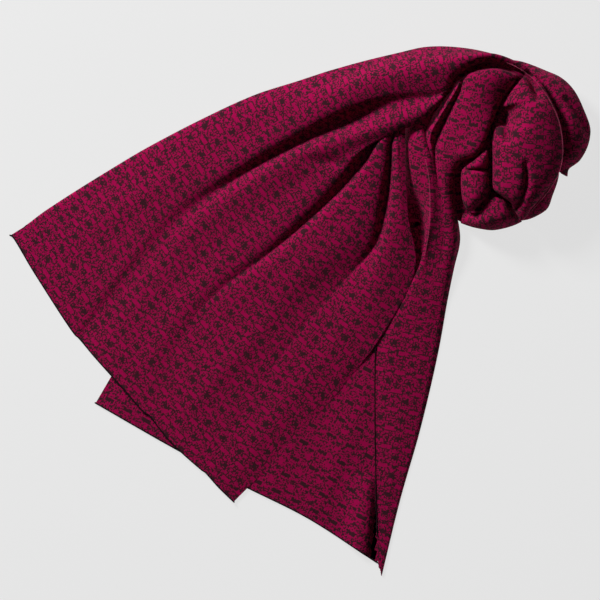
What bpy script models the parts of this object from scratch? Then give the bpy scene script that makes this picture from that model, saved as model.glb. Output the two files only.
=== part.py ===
"""A knitted jacquard scarf, laid on a table: two tails fanned one over the other, the rest heaped in a knot.

Lengths in the tables are millimetres. X runs to the right of the scarf as it lies, Y away from
its open ends, and Z up from the table. Heights are those of the cloth's underside.
"""

from typing import NamedTuple

import bmesh
import bpy
import numpy as np

MM = 0.001
CLOTH = 2.0  # thickness of the double knit
CLEARANCE = 0.4  # air between an end edging and the cloth that it finishes
NECK = 350.0  # distance from the open end at which the tails start to gather into the knot
WELD = 1e-6  # metres between corners that are one
PATH_STEPS = 12  # steps between two points of a line, for measuring along it


class Line(NamedTuple):
    """A fold or an edge that runs along a stretch of cloth, from its open end to the knot."""

    name: str
    path: tuple  # (x, y) that it passes in plan
    heights: tuple  # at each station that it reaches
    aside: tuple = ()  # how far to the front of that path it runs, at each station


class Section(NamedTuple):
    """A cut across a loop of the knot, from its inner side to its outer one."""

    y: float
    inner: float  # x of the inner edge
    inner_z: float
    crest: float
    crest_z: float
    outer: float  # x of the outer edge
    outer_z: float
    drop: float  # how deep the inner side goes


class Fold(NamedTuple):
    """A fold of the knot, from the cuts across it."""

    name: str
    cuts: tuple  # of Section or Roll
    tuck: float  # how far its edges turn under
    across: int  # cells between two of its lines


class Roll(NamedTuple):
    """A cut across a roll at the knot's foot: its outline on the table, its crest and its inner edge."""

    outline: tuple  # (x, y, z) of the widest place
    crest: tuple
    inner: tuple


# The upper tail, face up. Stations are distances from its open end.
UPPER_STATIONS = (0, 75, 150, 225, 300, 350, 395, 440, 480, 520, 550)
FIRST_VALLEY = (
    (-221.4, -26.6), (-173, 35), (-123, 90), (-61, 133), (5, 170), (50, 190), (92, 207), (143, 217),
    (152, 232), (184, 249), (214, 241),
)
SECOND_VALLEY = (
    (-153, -103), (-105, -5), (-80, 20), (-20, 65), (40, 120), (65, 150), (78, 172), (89, 176),
)
THIRD_VALLEY = (
    (-95.7, -160.7), (0, -20), (45, 30), (75, 65), (85, 100), (90, 140), (92, 170), (96, 179),
)
UPPER_TAIL = (
    Line(
        "back selvedge",
        (
            (-289, 75), (-224, 115.5), (-160, 154), (-94, 190), (-25, 217), (22, 231), (66, 242),
            (109, 252), (150, 254), (189, 250), (214, 241),
        ),
        (0, 0, 0, 0, 0, 0, 0, 0, 0, 5, 30),
    ),
    Line(
        "outline",
        (
            (-287, 74), (-250, 97.5), (-200, 129.2), (-150, 159.2), (-50, 210.4), (50, 242.4),
            (100, 255), (130, 261), (170, 258.5), (205, 249.5), (219, 244),
        ),
        (0, 0.5, 1.2, 3, 7, 10, 15, 20, 26, 30, 33),
    ),
    Line(
        "band crest",
        (
            (-265, 38), (-137, 121), (-9, 199), (60, 228), (120, 243), (156, 249), (190, 253),
            (216, 243),
        ),
        (0.6, 3, 6, 10, 17, 25, 34, 42, 50, 50, 37),
    ),
    Line(
        "first valley's brow",
        FIRST_VALLEY,
        (0.6, 2.6, 5.5, 10, 17.5, 25, 33, 41, 47, 48, 37),
        (-3, -9, -12, -11, -12, -15, -11, -7, -4, -2, -0.8),
    ),
    Line("first valley", FIRST_VALLEY, (0, 1, 2.5, 3, 3.5, 6, 24, 37, 41, 44, 36)),
    Line(
        "second ridge",
        (
            (-204.4, -46.6), (-159, 17), (-114, 77), (-56, 125), (9, 160), (56, 175), (98, 189),
            (136, 207), (150, 230), (183, 247), (212, 239),
        ),
        (2, 3.2, 6, 10.5, 18, 25, 32, 38, 28, 30, 33),
    ),
    Line(
        "ridge lip",
        (
            (-178, -76), (-143, -6), (-98, 54), (-40, 101), (22, 143), (66, 166), (97, 180),
            (123, 191), (133, 205),
        ),
        (2.6, 3, 5, 9, 15, 22, 27, 29, 20),
    ),
    Line(
        "second valley's back brow",
        SECOND_VALLEY,
        (2.4, 3, 4.5, 8, 13.5, 18, 20, 20),
        (-2, -4, -7, -9, -11, -10, -6, -3),
    ),
    Line("second valley", SECOND_VALLEY, (2.3, 2.6, 3, 3, 3, 3, 4, 5)),
    Line(
        "second valley's front brow",
        SECOND_VALLEY,
        (2.4, 3, 4.5, 8, 13.5, 18, 20, 20),
        (2, 4, 5, 5.5, 6, 5.5, 4, 2.5),
    ),
    Line(
        "third ridge",
        ((-130, -130), (-40, 10), (30, 85), (65, 130), (83, 170), (92, 178)),
        (2.3, 4, 5.5, 10, 15, 20.5, 23, 23),
    ),
    Line(
        "third valley's back brow",
        THIRD_VALLEY,
        (2.4, 3, 4, 9, 14, 18.5, 21, 21),
        (-2, -3, -6, -9, -10.5, -7, -4, -3),
    ),
    Line("third valley", THIRD_VALLEY, (2.3, 2.6, 2.8, 2.8, 2.6, 3, 4, 5)),
    Line(
        "third valley's front brow",
        THIRD_VALLEY,
        (2.4, 3, 4, 7, 12.5, 17.5, 21, 21),
        (2, 3, 4, 5, 5.5, 4, 3, 2.5),
    ),
    Line(
        "fourth ridge",
        ((-80.7, -176.7), (30, -40), (85, 45), (98, 100), (99, 140), (101, 181)),
        (2.3, 2.4, 2.8, 6.5, 13.5, 19, 22, 23),
    ),
    Line(
        "front selvedge",
        (
            (-65.7, -191.2), (2, -122), (75, -36), (95, 1), (115, 34), (111, 62), (108, 92),
            (105, 145), (105, 184),
        ),
        (2.3, 2.3, 2.4, 5.2, 8, 16, 20.5, 21.5),
    ),
)
UPPER_ACROSS = (1, 2, 3, 2, 2, 2, 2, 1, 1, 1, 2, 1, 1, 1, 2)
UPPER_ALONG = (4, 4, 4, 5, 4, 4, 4, 3, 3, 2)

# The under tail, reverse up. Its right side is folded over: the strip that comes back on top shows the face.
UNDER_STATIONS = (0, 75, 150, 225, 290)
UNDER_TAIL = (
    Line("hidden selvedge", ((-204, -92.4), (-178, -48), (-152, -5), (-125, 38), (-98, 78)), (0, 0, 0, 0, 0)),
    Line("left quarter", ((-131.5, -134), (-108, -85), (-84, -38), (-60, 8), (-38, 50)), (0, 0, 0, 0, 0)),
    Line("middle", ((-62, -172), (-42, -122), (-21, -75), (2, -26), (22, 20)), (0, 0, 0, 0, 0)),
    Line("right quarter", ((8.3, -207.3), (26, -160), (44, -110), (62, -58), (80, -10)), (0, 0, 0, 0, 0)),
    Line("beside the fold", ((77.5, -252), (95, -192), (112, -132), (127, -70), (138, -10)), (0, 0, 0, 0, 0)),
)
UNDER_ACROSS = (3, 3, 3, 3)
UNDER_ALONG = (3, 3, 3, 3)

# The strip that is turned over, and the panel of reverse that it becomes on its way over the knot.
STRIP_STATIONS = (0, 75, 150, 228, 282, 315, 345, 370, 400, 432, 457, 480, 505, 530, 545)
TURNED_STRIP = (
    Line(
        "strip selvedge",
        (
            (78, -254), (76, -190), (75, -120), (75, -43), (78, 10), (92, 42), (101, 72), (104, 95),
            (104, 126), (104, 155), (104, 172), (105, 186),
        ),
        (2.6, 3.2, 2.6, 2.4, 2.4, 1.5, 0.5, 0.3, 0.3, 0.3, 0.3, 0.3),
    ),
    Line(
        "pleat foot",
        (
            (79, -256), (78, -190), (78, -120), (79, -43), (97, 10), (118, 40), (125, 68), (122, 95),
            (113, 125), (110, 155), (110, 172), (112, 188),
        ),
        (2.5, 2.8, 2.5, 2.6, 2.6, 3, 0.6, 0.5, 12, 18, 18.5, 16),
    ),
    Line(
        "pleat ridge",
        (
            (79, -258), (82, -190), (84, -120), (86, -43), (107, 10), (121, 42), (127, 70), (131, 95),
            (131, 125), (127, 155), (121, 174), (120, 189),
        ),
        (2.5, 2.6, 2.8, 3.6, 4.8, 8, 14, 19, 24, 27, 26, 16),
    ),
    Line(
        "crease beside the pleat",
        (
            (80, -259), (88, -190), (98, -120), (107, -43), (114, 10), (127, 42), (131, 70), (134, 95),
            (133, 125), (129, 157), (125, 175), (132, 190), (144, 207), (155, 222), (155, 225),
        ),
        (2.5, 2.6, 2.8, 3.6, 5.6, 8, 13.2, 18.2, 23.2, 25, 20, 13, 18, 22, 16),
    ),
    Line(
        "narrow fold",
        (
            (80, -260), (90, -190), (103, -120), (113, -43), (121, 10), (131, 42), (135, 70), (136, 95),
            (135, 125), (131, 158), (130, 174), (138, 190), (149, 208), (158, 224), (158, 227),
        ),
        (2.5, 2.6, 2.8, 3.6, 5.6, 8, 12.6, 17.4, 22.4, 25, 29, 34, 39, 42, 28),
    ),
    Line(
        "valley beside the panel",
        (
            (80.5, -261), (92, -190), (107, -120), (119, -43), (127, 10), (135, 42), (138, 70), (138, 95),
            (137, 125), (133, 157), (136, 171), (145, 190), (155, 210), (162, 226), (162, 229),
        ),
        (2.5, 2.6, 2.8, 3.6, 5.6, 8, 12.2, 16.8, 21.6, 20, 20, 22, 28, 32, 22),
    ),
    Line(
        "panel left",
        (
            (80.7, -261), (94, -190), (110, -120), (124, -43), (132, 10), (139, 42), (144, 70), (142, 95),
            (140, 126), (139, 157), (145, 174), (154, 196), (163, 216), (168, 231), (168, 234),
        ),
        (2.5, 2.6, 2.8, 3.6, 5.6, 8, 12, 16.8, 21.6, 26, 31, 38, 44, 47, 34),
    ),
    Line(
        "panel middle",
        (
            (81, -261.5), (96, -190), (114, -120), (129, -43), (137, 10), (144, 42), (150, 70), (149, 95),
            (145, 125), (148, 153), (160, 168), (171, 191), (180, 213), (190, 236), (190.5, 239),
        ),
        (2.5, 2.6, 2.7, 3.4, 5.5, 9, 13.5, 18, 23.5, 30, 38, 46, 51, 53, 38),
    ),
    Line(
        "panel edge",
        (
            (80.8, -264), (98, -190), (117, -120), (134, -43), (143, 10), (149, 42), (154.5, 70), (152.5, 95),
            (151, 125), (156, 148), (175, 158), (187, 184), (197, 209), (213, 232), (214, 235),
        ),
        (2.5, 2.5, 2.5, 2.9, 4.6, 8, 12, 16, 20, 30, 42, 46, 45, 46, 38),
    ),
    Line(
        "fold on the table",
        (
            (81.5, -266), (100, -190), (120, -120), (138, -43), (147.5, 10), (154, 42), (160, 70), (157, 95),
            (153.5, 123), (158, 144), (178, 156), (190, 183), (200, 208), (216, 231), (217, 234),
        ),
        (0, 0, 0, 0, 0, 0, 0, 5, 10, 18, 28, 35, 39, 42, 37),
    ),
)
STRIP_ACROSS = (1, 2, 1, 1, 1, 1, 2, 2, 2)
STRIP_ALONG = (3, 3, 3, 3, 2, 2, 2, 2, 2, 2, 2, 2, 2, 1)

FRONT_LOOP = (
    Section(90, 219, 26, 220.5, 29, 222.5, 25, 3),
    Section(94, 217.5, 30, 220.5, 35, 225, 31, 5),
    Section(100, 214, 35, 221, 42, 229, 36, 8),
    Section(107, 211, 37, 221, 47, 235, 38, 10),
    Section(113, 203, 39, 220, 51, 240, 40, 13),
    Section(121, 194, 40, 219, 54, 246, 41, 14),
    Section(131, 193, 40, 220, 57, 254, 43, 14),
    Section(146, 193, 40, 222, 60, 259.5, 45, 14),
    Section(170, 193, 40, 225, 63, 260.5, 47, 14),
    Section(184, 195.5, 37, 228, 63, 258, 47, 13),
    Section(196, 199.6, 36, 230, 62, 254.5, 47, 11),
    Section(207, 204.8, 41.5, 230, 58, 249.5, 47, 8),
    Section(217, 210.6, 43.5, 229, 54, 244, 46, 5),
    Section(226, 217.8, 44.5, 228, 51, 237.5, 46, 4),
    Section(235, 224.5, 44, 227, 48, 229.5, 44, 2),
    Section(241, 219, 43, 222, 48, 225, 46, 1),
    Section(246, 213, 44, 215.5, 49, 218, 46, 1),
)
TONGUE = (
    Section(99.5, 167, 22, 169.5, 26, 172, 23, 4),
    Section(104, 165, 27, 171, 36, 177, 29, 10),
    Section(110, 163, 29, 173, 41, 183, 32, 13),
    Section(118, 162, 31, 175, 43, 187.5, 34, 14),
    Section(128, 161.5, 32, 175, 43, 187.5, 35, 14),
    Section(136, 162, 33, 175, 42, 187, 35, 14),
    Section(139.5, 163, 30, 174, 33, 186, 32, 12),
    Section(143, 167, 36, 176, 44, 186.5, 36, 12),
    Section(150, 176, 38, 181, 44, 186.5, 38, 8),
    Section(155, 181, 38, 184, 42, 186.5, 37, 6),
    Section(159, 184.5, 36, 185.5, 38, 186.5, 35, 3),
)
OUTER_ROLL = (
    Roll((209, 249, 10), (211, 244, 19), (213, 240, 16)),
    Roll((222, 246, 17), (223, 239, 30), (226, 232, 25)),
    Roll((245, 237, 20), (240, 228, 37), (233, 220, 30)),
    Roll((260, 230, 20), (252, 219, 39), (243, 212, 32)),
    Roll((272, 218, 20), (261, 208, 40), (249, 202, 32)),
    Roll((282, 198, 20), (269, 193, 40), (252, 190, 32)),
    Roll((288, 180, 18), (272, 178, 38), (253, 177, 32)),
    Roll((286, 165, 17), (271, 165, 36), (253, 166, 30)),
    Roll((278, 150, 15), (265, 154, 34), (249, 158, 30)),
    Roll((267, 141, 15), (257, 146, 30), (244, 153, 29)),
    Roll((265.5, 133.5, 15), (257, 139, 26), (245, 147.5, 28)),
)
SIDE_ROLL = (
    Roll((258, 145, 6), (251, 148, 13), (243, 149, 12)),
    Roll((258, 138, 8), (251, 140, 17), (242, 143, 16)),
    Roll((256, 129, 13), (249, 132, 26), (238, 135, 23)),
    Roll((251, 115, 14), (243, 119, 29), (231, 125, 25)),
    Roll((246, 102, 13), (237, 107, 27), (226, 114, 24)),
    Roll((236, 95, 12), (231, 101, 25), (223, 109, 22)),
    Roll((228, 91.5, 9), (226, 97, 20), (221.5, 105, 19)),
    Roll((223.5, 90.5, 8), (222.5, 95, 17), (220, 101, 17)),
)
LOWER_ROLL = (
    Roll((161, 87.5, 8), (162, 92, 12), (163, 96, 11)),
    Roll((172, 84, 13), (176, 91, 26), (178, 98, 24)),
    Roll((182, 82, 15), (184, 91, 33), (186, 105, 32)),
    Roll((192, 81, 16), (193, 92, 36), (194, 112, 35)),
    Roll((204, 83, 16), (203, 94, 36), (203, 109, 34)),
    Roll((214, 86, 13), (211, 94, 29), (208, 103, 27)),
    Roll((221, 89, 10), (217, 95, 20), (214, 101, 19)),
)

KNOT_FOLDS = (
    Fold("knot_front_loop", FRONT_LOOP, 4, 2),
    Fold("knot_tongue", TONGUE, 3, 1),
    Fold("knot_outer_roll", OUTER_ROLL, 6, 2),
    Fold("knot_side_roll", SIDE_ROLL, 4, 2),
    Fold("knot_lower_roll", LOWER_ROLL, 4, 2),
)

FACE_COLOUR = (0.20, 0.012, 0.07, 1.0)
REVERSE_COLOUR = (0.17, 0.010, 0.055, 1.0)
EDGING_COLOUR = (0.02, 0.014, 0.018, 1.0)


def spline(points: np.ndarray, where: np.ndarray) -> np.ndarray:
    """Centripetal Catmull-Rom curves through points[0], points[1], ..., at fractional indices."""
    ends = 2 * points[:1] - points[1:2], 2 * points[-1:] - points[-2:-1]
    padded = np.concatenate([ends[0], points, ends[1]])
    start = np.minimum(where.astype(int), len(points) - 2)
    share = (where - start).reshape((-1,) + (1,) * (points.ndim - 1))
    a, b, c, d = (padded[start + step] for step in range(4))

    def knot(p, q):
        return np.sqrt(np.maximum(np.linalg.norm(q - p, axis=-1, keepdims=True), 1e-3))

    t1 = knot(a, b)
    t2 = t1 + knot(b, c)
    t3 = t2 + knot(c, d)
    t = t1 + share * (t2 - t1)
    ab = a + (b - a) * t / t1
    bc = b + (c - b) * (t - t1) / (t2 - t1)
    cd = c + (d - c) * (t - t2) / (t3 - t2)
    abc = ab + (bc - ab) * t / t2
    bcd = bc + (cd - bc) * (t - t1) / (t3 - t1)
    return abc + (bcd - abc) * (t - t1) / (t2 - t1)


def split(steps: tuple) -> np.ndarray:
    """Fractional indices that cut each interval i into steps[i] equal parts."""
    parts = [i + np.arange(count) / count for i, count in enumerate(steps)]
    return np.concatenate(parts + [[len(steps)]])


def along(line: Line, stations: tuple) -> np.ndarray:
    """The line's points at its stations: true distances up to the neck, and shares of the rest."""
    path = spline(np.array(line.path, float), split((PATH_STEPS,) * (len(line.path) - 1)))
    arc = np.concatenate([[0], np.cumsum(np.linalg.norm(np.diff(path, axis=0), axis=1))])
    reached = np.array(stations[: len(line.heights)], float)
    if len(line.path) == len(line.heights):
        plan = np.array(line.path, float)
    else:
        beyond = (reached - NECK) / (reached[-1] - NECK)
        distance = np.where(reached > NECK, NECK + beyond * (arc[-1] - NECK), reached)
        plan = np.column_stack([np.interp(distance, arc, path[:, axis]) for axis in (0, 1)])
    if line.aside:
        step = np.gradient(plan, axis=0)
        front = np.column_stack([step[:, 1], -step[:, 0]]) / np.linalg.norm(step, axis=1, keepdims=True)
        plan = plan + front * np.array(line.aside, float)[:, None]
    points = np.column_stack([plan, line.heights])
    missing = len(stations) - len(points)
    step = points[-1] - points[-2]
    return np.vstack([points] + [points[-1] + step * (i + 1) for i in range(missing)])


def lay(lines: tuple, stations: tuple, across: tuple, lengthwise: tuple) -> tuple:
    """A stretch of cloth through its lines.

    Returns its grid of points, and which of the grid's cells are cloth: those between lines that
    both reach that far.
    """
    grid = np.array([along(line, stations) for line in lines])
    grid = spline(grid, split(across))
    grid = spline(grid.transpose(1, 0, 2), split(lengthwise)).transpose(1, 0, 2)
    cells = []
    for near, far, count in zip(lines, lines[1:], across):
        reach = min(len(near.heights), len(far.heights)) - 1
        row = np.arange(sum(lengthwise)) < sum(lengthwise[:reach])
        cells += [row] * count
    return grid, np.array(cells)


def loop_points(sections: tuple, tuck: float) -> np.ndarray:
    """A loop's lines, from its inner edge over the crest to its outer edge, both turned down and under."""
    rows = []
    for s in sections:
        inside = s.inner + tuck * 0.5, s.y, s.inner_z - s.drop
        shoulder = (s.inner * 2 + s.crest) / 3, s.y, s.inner_z + (s.crest_z - s.inner_z) * 0.66
        slope = (s.outer * 2 + s.crest) / 3, s.y, s.outer_z + (s.crest_z - s.outer_z) * 0.7
        under = s.outer - tuck, s.y, s.outer_z - tuck
        edges = (s.inner, s.y, s.inner_z), (s.crest, s.y, s.crest_z), (s.outer, s.y, s.outer_z)
        rows.append((inside, edges[0], shoulder, edges[1], slope, edges[2], under))
    return np.array(rows, float).transpose(1, 0, 2)


def roll_points(sections: tuple, tuck: float) -> np.ndarray:
    """A roll's lines, from the table round its outline and over the crest to its inner edge."""
    rows = []
    for s in sections:
        outline, crest, inner = (np.array(p, float) for p in s)
        inwards = crest - outline
        inwards[2] = 0
        foot = outline + inwards * tuck / np.linalg.norm(inwards)
        foot[2] = CLOTH / 2
        brow = (outline * 0.62 + crest * 0.38) + (0, 0, 0.26 * (crest[2] - outline[2]))
        rows.append((foot, outline, brow, crest, inner))
    return np.array(rows, float).transpose(1, 0, 2)


def smooth_sheet(points: np.ndarray, across: int, lengthwise: int) -> np.ndarray:
    """The grid through a table of points, with this many cells between each two."""
    grid = spline(points, split((across,) * (len(points) - 1)))
    return spline(grid.transpose(1, 0, 2), split((lengthwise,) * (points.shape[1] - 1))).transpose(1, 0, 2)


def material(name: str, colour: tuple, roughness: float) -> bpy.types.Material:
    """A plain knit finish."""
    made = bpy.data.materials.new(name)
    made.use_nodes = True
    shader = made.node_tree.nodes["Principled BSDF"]
    shader.inputs["Base Color"].default_value = colour
    shader.inputs["Roughness"].default_value = roughness
    shader.inputs["Metallic"].default_value = 0.0
    return made


def add_object(name: str, mesh: bpy.types.Mesh, finish: bpy.types.Material, into) -> bpy.types.Object:
    """An object for a finished mesh."""
    made = bpy.data.objects.new(name, mesh)
    mesh.materials.append(finish)
    mesh.shade_smooth()
    into.objects.link(made)
    return made


def cloth(name: str, grid: np.ndarray, cells: np.ndarray, finish, into) -> bpy.types.Object:
    """A wall of cloth on a grid of underside points: the thickness is added on top.

    Solidify follows the cloth's slope, so a wall that stands on the table is cut level there.
    """
    shape = bmesh.new()
    made = {}

    def vertex(i, j):
        if (i, j) not in made:
            made[i, j] = shape.verts.new(grid[i, j] * MM)
        return made[i, j]

    for i, j in np.argwhere(cells):
        shape.faces.new([vertex(i, j), vertex(i + 1, j), vertex(i + 1, j + 1), vertex(i, j + 1)])
    shape.normal_update()
    if sum(face.normal.z * face.calc_area() for face in shape.faces) < 0:
        bmesh.ops.reverse_faces(shape, faces=shape.faces)
    mesh = bpy.data.meshes.new(name)
    shape.to_mesh(mesh)
    shape.free()
    piece = add_object(name, mesh, finish, into)
    wall = piece.modifiers.new("Cloth", "SOLIDIFY")
    wall.thickness = CLOTH * MM
    wall.offset = 1.0
    wall.use_quality_normals = True
    bpy.context.view_layer.update()
    piece.data = bpy.data.meshes.new_from_object(piece.evaluated_get(bpy.context.evaluated_depsgraph_get()))
    piece.modifiers.clear()
    for corner in piece.data.vertices:
        corner.co.z = max(corner.co.z, 0.0)
    return piece


def edging(name: str, edge: np.ndarray, outward: tuple, finish, into) -> bpy.types.Object:
    """The rounded cast-off edge along a tail's open end."""
    radius = CLOTH * 0.6
    curve = bpy.data.curves.new(name, "CURVE")
    curve.dimensions = "3D"
    curve.bevel_depth = radius * MM
    curve.bevel_resolution = 1
    curve.use_fill_caps = True
    run = curve.splines.new("POLY")
    run.points.add(len(edge) - 1)
    away = np.array(outward + (0,), float) / np.linalg.norm(outward) * (radius + CLEARANCE)
    for point, place in zip(run.points, edge + away):
        height = max(place[2] + CLOTH / 2, radius)
        point.co = (place[0] * MM, place[1] * MM, height * MM, 1)
    guide = bpy.data.objects.new(name, curve)
    into.objects.link(guide)
    bpy.context.view_layer.update()
    mesh = bpy.data.meshes.new_from_object(guide.evaluated_get(bpy.context.evaluated_depsgraph_get()))
    bpy.data.objects.remove(guide)
    shape = bmesh.new()
    shape.from_mesh(mesh)
    bmesh.ops.remove_doubles(shape, verts=shape.verts, dist=WELD)
    shape.to_mesh(mesh)
    shape.free()
    mesh.materials.clear()
    return add_object(name, mesh, finish, into)


def knot_core(finish, into) -> bpy.types.Object:
    """The hidden layers of the knot as one rounded solid, stepped where the layers' edges lie."""
    centre, reach = (186.0, 167.0), (66.0, 79.0)
    base, rise = 11.0, 24.0
    top, spread = (224.0, 165.0), (22.0, 36.0)  # the heap under the front loop
    layers, step = 4, 0.04
    shape = bmesh.new()
    bmesh.ops.create_uvsphere(shape, u_segments=32, v_segments=24, radius=1)
    for vertex in shape.verts:
        x, y, z = vertex.co
        z = max(z, 0.0)
        flat = np.hypot(x, y)
        out = (1 - z**3) ** 0.5 / flat if flat > WELD else 0
        out *= 1 - step * (0.5 + 0.5 * np.cos(2 * np.pi * layers * z)) * (1 - z)
        x, y = x * out * reach[0] + centre[0], y * out * reach[1] + centre[1]
        heap = np.exp(-(((x - top[0]) / spread[0]) ** 2) - ((y - top[1]) / spread[1]) ** 2)
        vertex.co = (x * MM, y * MM, z * (base + rise * heap) * MM)
    bmesh.ops.remove_doubles(shape, verts=shape.verts, dist=WELD)
    mesh = bpy.data.meshes.new("knot_core")
    shape.to_mesh(mesh)
    shape.free()
    return add_object("knot_core", mesh, finish, into)


def main() -> None:
    """Builds the scarf."""
    for old in list(bpy.data.objects):
        bpy.data.objects.remove(old)
    scarf = bpy.data.collections.new("knitted_scarf")
    bpy.context.scene.collection.children.link(scarf)
    face = material("jacquard_face", FACE_COLOUR, 0.85)
    reverse = material("jacquard_reverse", REVERSE_COLOUR, 0.85)
    dark = material("dark_edging", EDGING_COLOUR, 0.9)

    upper, upper_cells = lay(UPPER_TAIL, UPPER_STATIONS, UPPER_ACROSS, UPPER_ALONG)
    cloth("upper_tail", upper, upper_cells, face, scarf)
    edging("upper_end_edging", upper[:, 0], (-0.76, -0.65), dark, scarf)

    under, under_cells = lay(UNDER_TAIL, UNDER_STATIONS, UNDER_ACROSS, UNDER_ALONG)
    cloth("under_tail", under, under_cells, reverse, scarf)
    edging("under_end_edging", under[:, 0], (-0.51, -0.86), dark, scarf)

    strip, strip_cells = lay(TURNED_STRIP, STRIP_STATIONS, STRIP_ACROSS, STRIP_ALONG)
    cloth("turned_strip", strip, strip_cells, face, scarf)

    for fold in KNOT_FOLDS:
        points = (loop_points if isinstance(fold.cuts[0], Section) else roll_points)(fold.cuts, fold.tuck)
        grid = smooth_sheet(points, fold.across, 2)
        cells = np.ones((grid.shape[0] - 1, grid.shape[1] - 1), bool)
        cloth(fold.name, grid, cells, face, scarf)
    knot_core(reverse, scarf)


main()
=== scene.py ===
"""The looks of a knitted jacquard scarf that lies on a table.

Its two tails are fanned one over the other, and the rest is heaped in a loose knot. The cloth follows the
same lines as the frame's solids. Their tables are in millimetres, with X to the right, Y away from the open
ends and Z up from the table. The knit is drawn by the materials, on a flat plan of each stretch of cloth.
"""

import logging
import math
from dataclasses import dataclass
from enum import Enum
from functools import partial

import bpy
import numpy as np
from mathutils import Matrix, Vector


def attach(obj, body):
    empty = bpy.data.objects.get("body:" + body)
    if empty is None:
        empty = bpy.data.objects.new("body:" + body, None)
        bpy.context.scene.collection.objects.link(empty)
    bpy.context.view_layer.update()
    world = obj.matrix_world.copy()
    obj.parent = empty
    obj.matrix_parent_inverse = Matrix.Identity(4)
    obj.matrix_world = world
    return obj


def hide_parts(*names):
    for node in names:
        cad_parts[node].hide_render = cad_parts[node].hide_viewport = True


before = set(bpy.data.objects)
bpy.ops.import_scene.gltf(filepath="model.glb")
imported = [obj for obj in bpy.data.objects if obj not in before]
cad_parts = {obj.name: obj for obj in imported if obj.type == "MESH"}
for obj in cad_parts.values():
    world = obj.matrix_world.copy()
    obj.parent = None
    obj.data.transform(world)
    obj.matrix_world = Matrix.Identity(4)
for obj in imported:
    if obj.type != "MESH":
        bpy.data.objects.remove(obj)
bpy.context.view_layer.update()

log = logging.getLogger("scarf")

MM = 0.001
CLOTH = 2.0  # thickness of the double knit
WALL = 1.8  # and as it is shown, which leaves room between two layers
TABLE_GAP = 0.1  # lowest that a fold reaches above the table
ROUNDING = 20.0  # width of the strip along a selvedge in which the cloth thins out
THIN_EDGE = 0.14  # share of the thickness that is left at a selvedge
NECK = 350.0  # distance from the open end at which the tails start to gather into the knot
SELVEDGE_STEPS = 20  # steps between two points of the strip's selvedge
PATH_STEPS = 12  # steps between two points of a line, for measuring along it
LEAST_GAP = 1e-3  # between two points of a curve
KNIT_MAP = "knit"  # the UV map that holds the flat plan, in metres
CORNERS = ((0, 0), (1, 0), (1, 1), (0, 1))  # of a grid's cell, in columns and rows
SHARP_FROM = math.radians(50)  # angle from which an edge of the mesh is a corner
COARSE_ROUNDS = 3000  # of settling the flat plans, at the frame's fineness
FINE_ROUNDS = 150  # and at the mesh's
SHOULDER_RISE = 0.66  # how far a loop has risen a third of the way to its crest from the inside
SLOPE_RISE = 0.7  # and from the outside
BROW_PLACE = 0.38  # how far from its outline to its crest a roll has its brow
BROW_RISE = 0.26  # share of the roll's height by which the brow is fuller than the straight line
CREASE_STEPS = 6  # steps between two points of a crease
FADE = 0.6  # how sharply a crease fades at its ends
STITCH_REACH = 0.6  # how far outside the end edge a cast-off stitch lies, as a share of its width
STITCH_LIFT = 0.55  # and how far above the table, as a share of its length
YARN_SPECULAR = 0.05
LEAST_AREA = 0.3  # share of the flat rectangle that a sheet has at least
WELD = 1e-5  # in metres


class Side(Enum):
    """The two sides of the double knit, whose colours change places."""

    FACE = "face"
    REVERSE = "reverse"

    def other(self) -> "Side":
        """The side underneath."""
        return Side.REVERSE if self is Side.FACE else Side.FACE


# ----------------------------------------
# The scarf's lines, as the frame has them


@dataclass(frozen=True)
class Line:
    """A fold or an edge that runs along a stretch of cloth, from its open end to the knot."""

    name: str
    path: tuple  # (x, y) that it passes in plan
    heights: tuple  # at each station that it reaches
    aside: tuple = ()  # how far to the front of that path it runs, at each station


@dataclass(frozen=True)
class Section:
    """A cut across a loop of the knot, from its inner side to its outer one."""

    y: float
    inner: float  # x of the inner edge
    inner_z: float
    crest: float
    crest_z: float
    outer: float  # x of the outer edge
    outer_z: float
    drop: float  # how deep the inner side goes


@dataclass(frozen=True)
class Roll:
    """A cut across a roll at the knot's foot."""

    outline: tuple  # (x, y, z) of the widest place
    crest: tuple
    inner: tuple


@dataclass(frozen=True)
class Crease:
    """A soft trough along a path in plan, or a ridge where its depth is below zero."""

    path: tuple
    depth: float
    width: float


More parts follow.
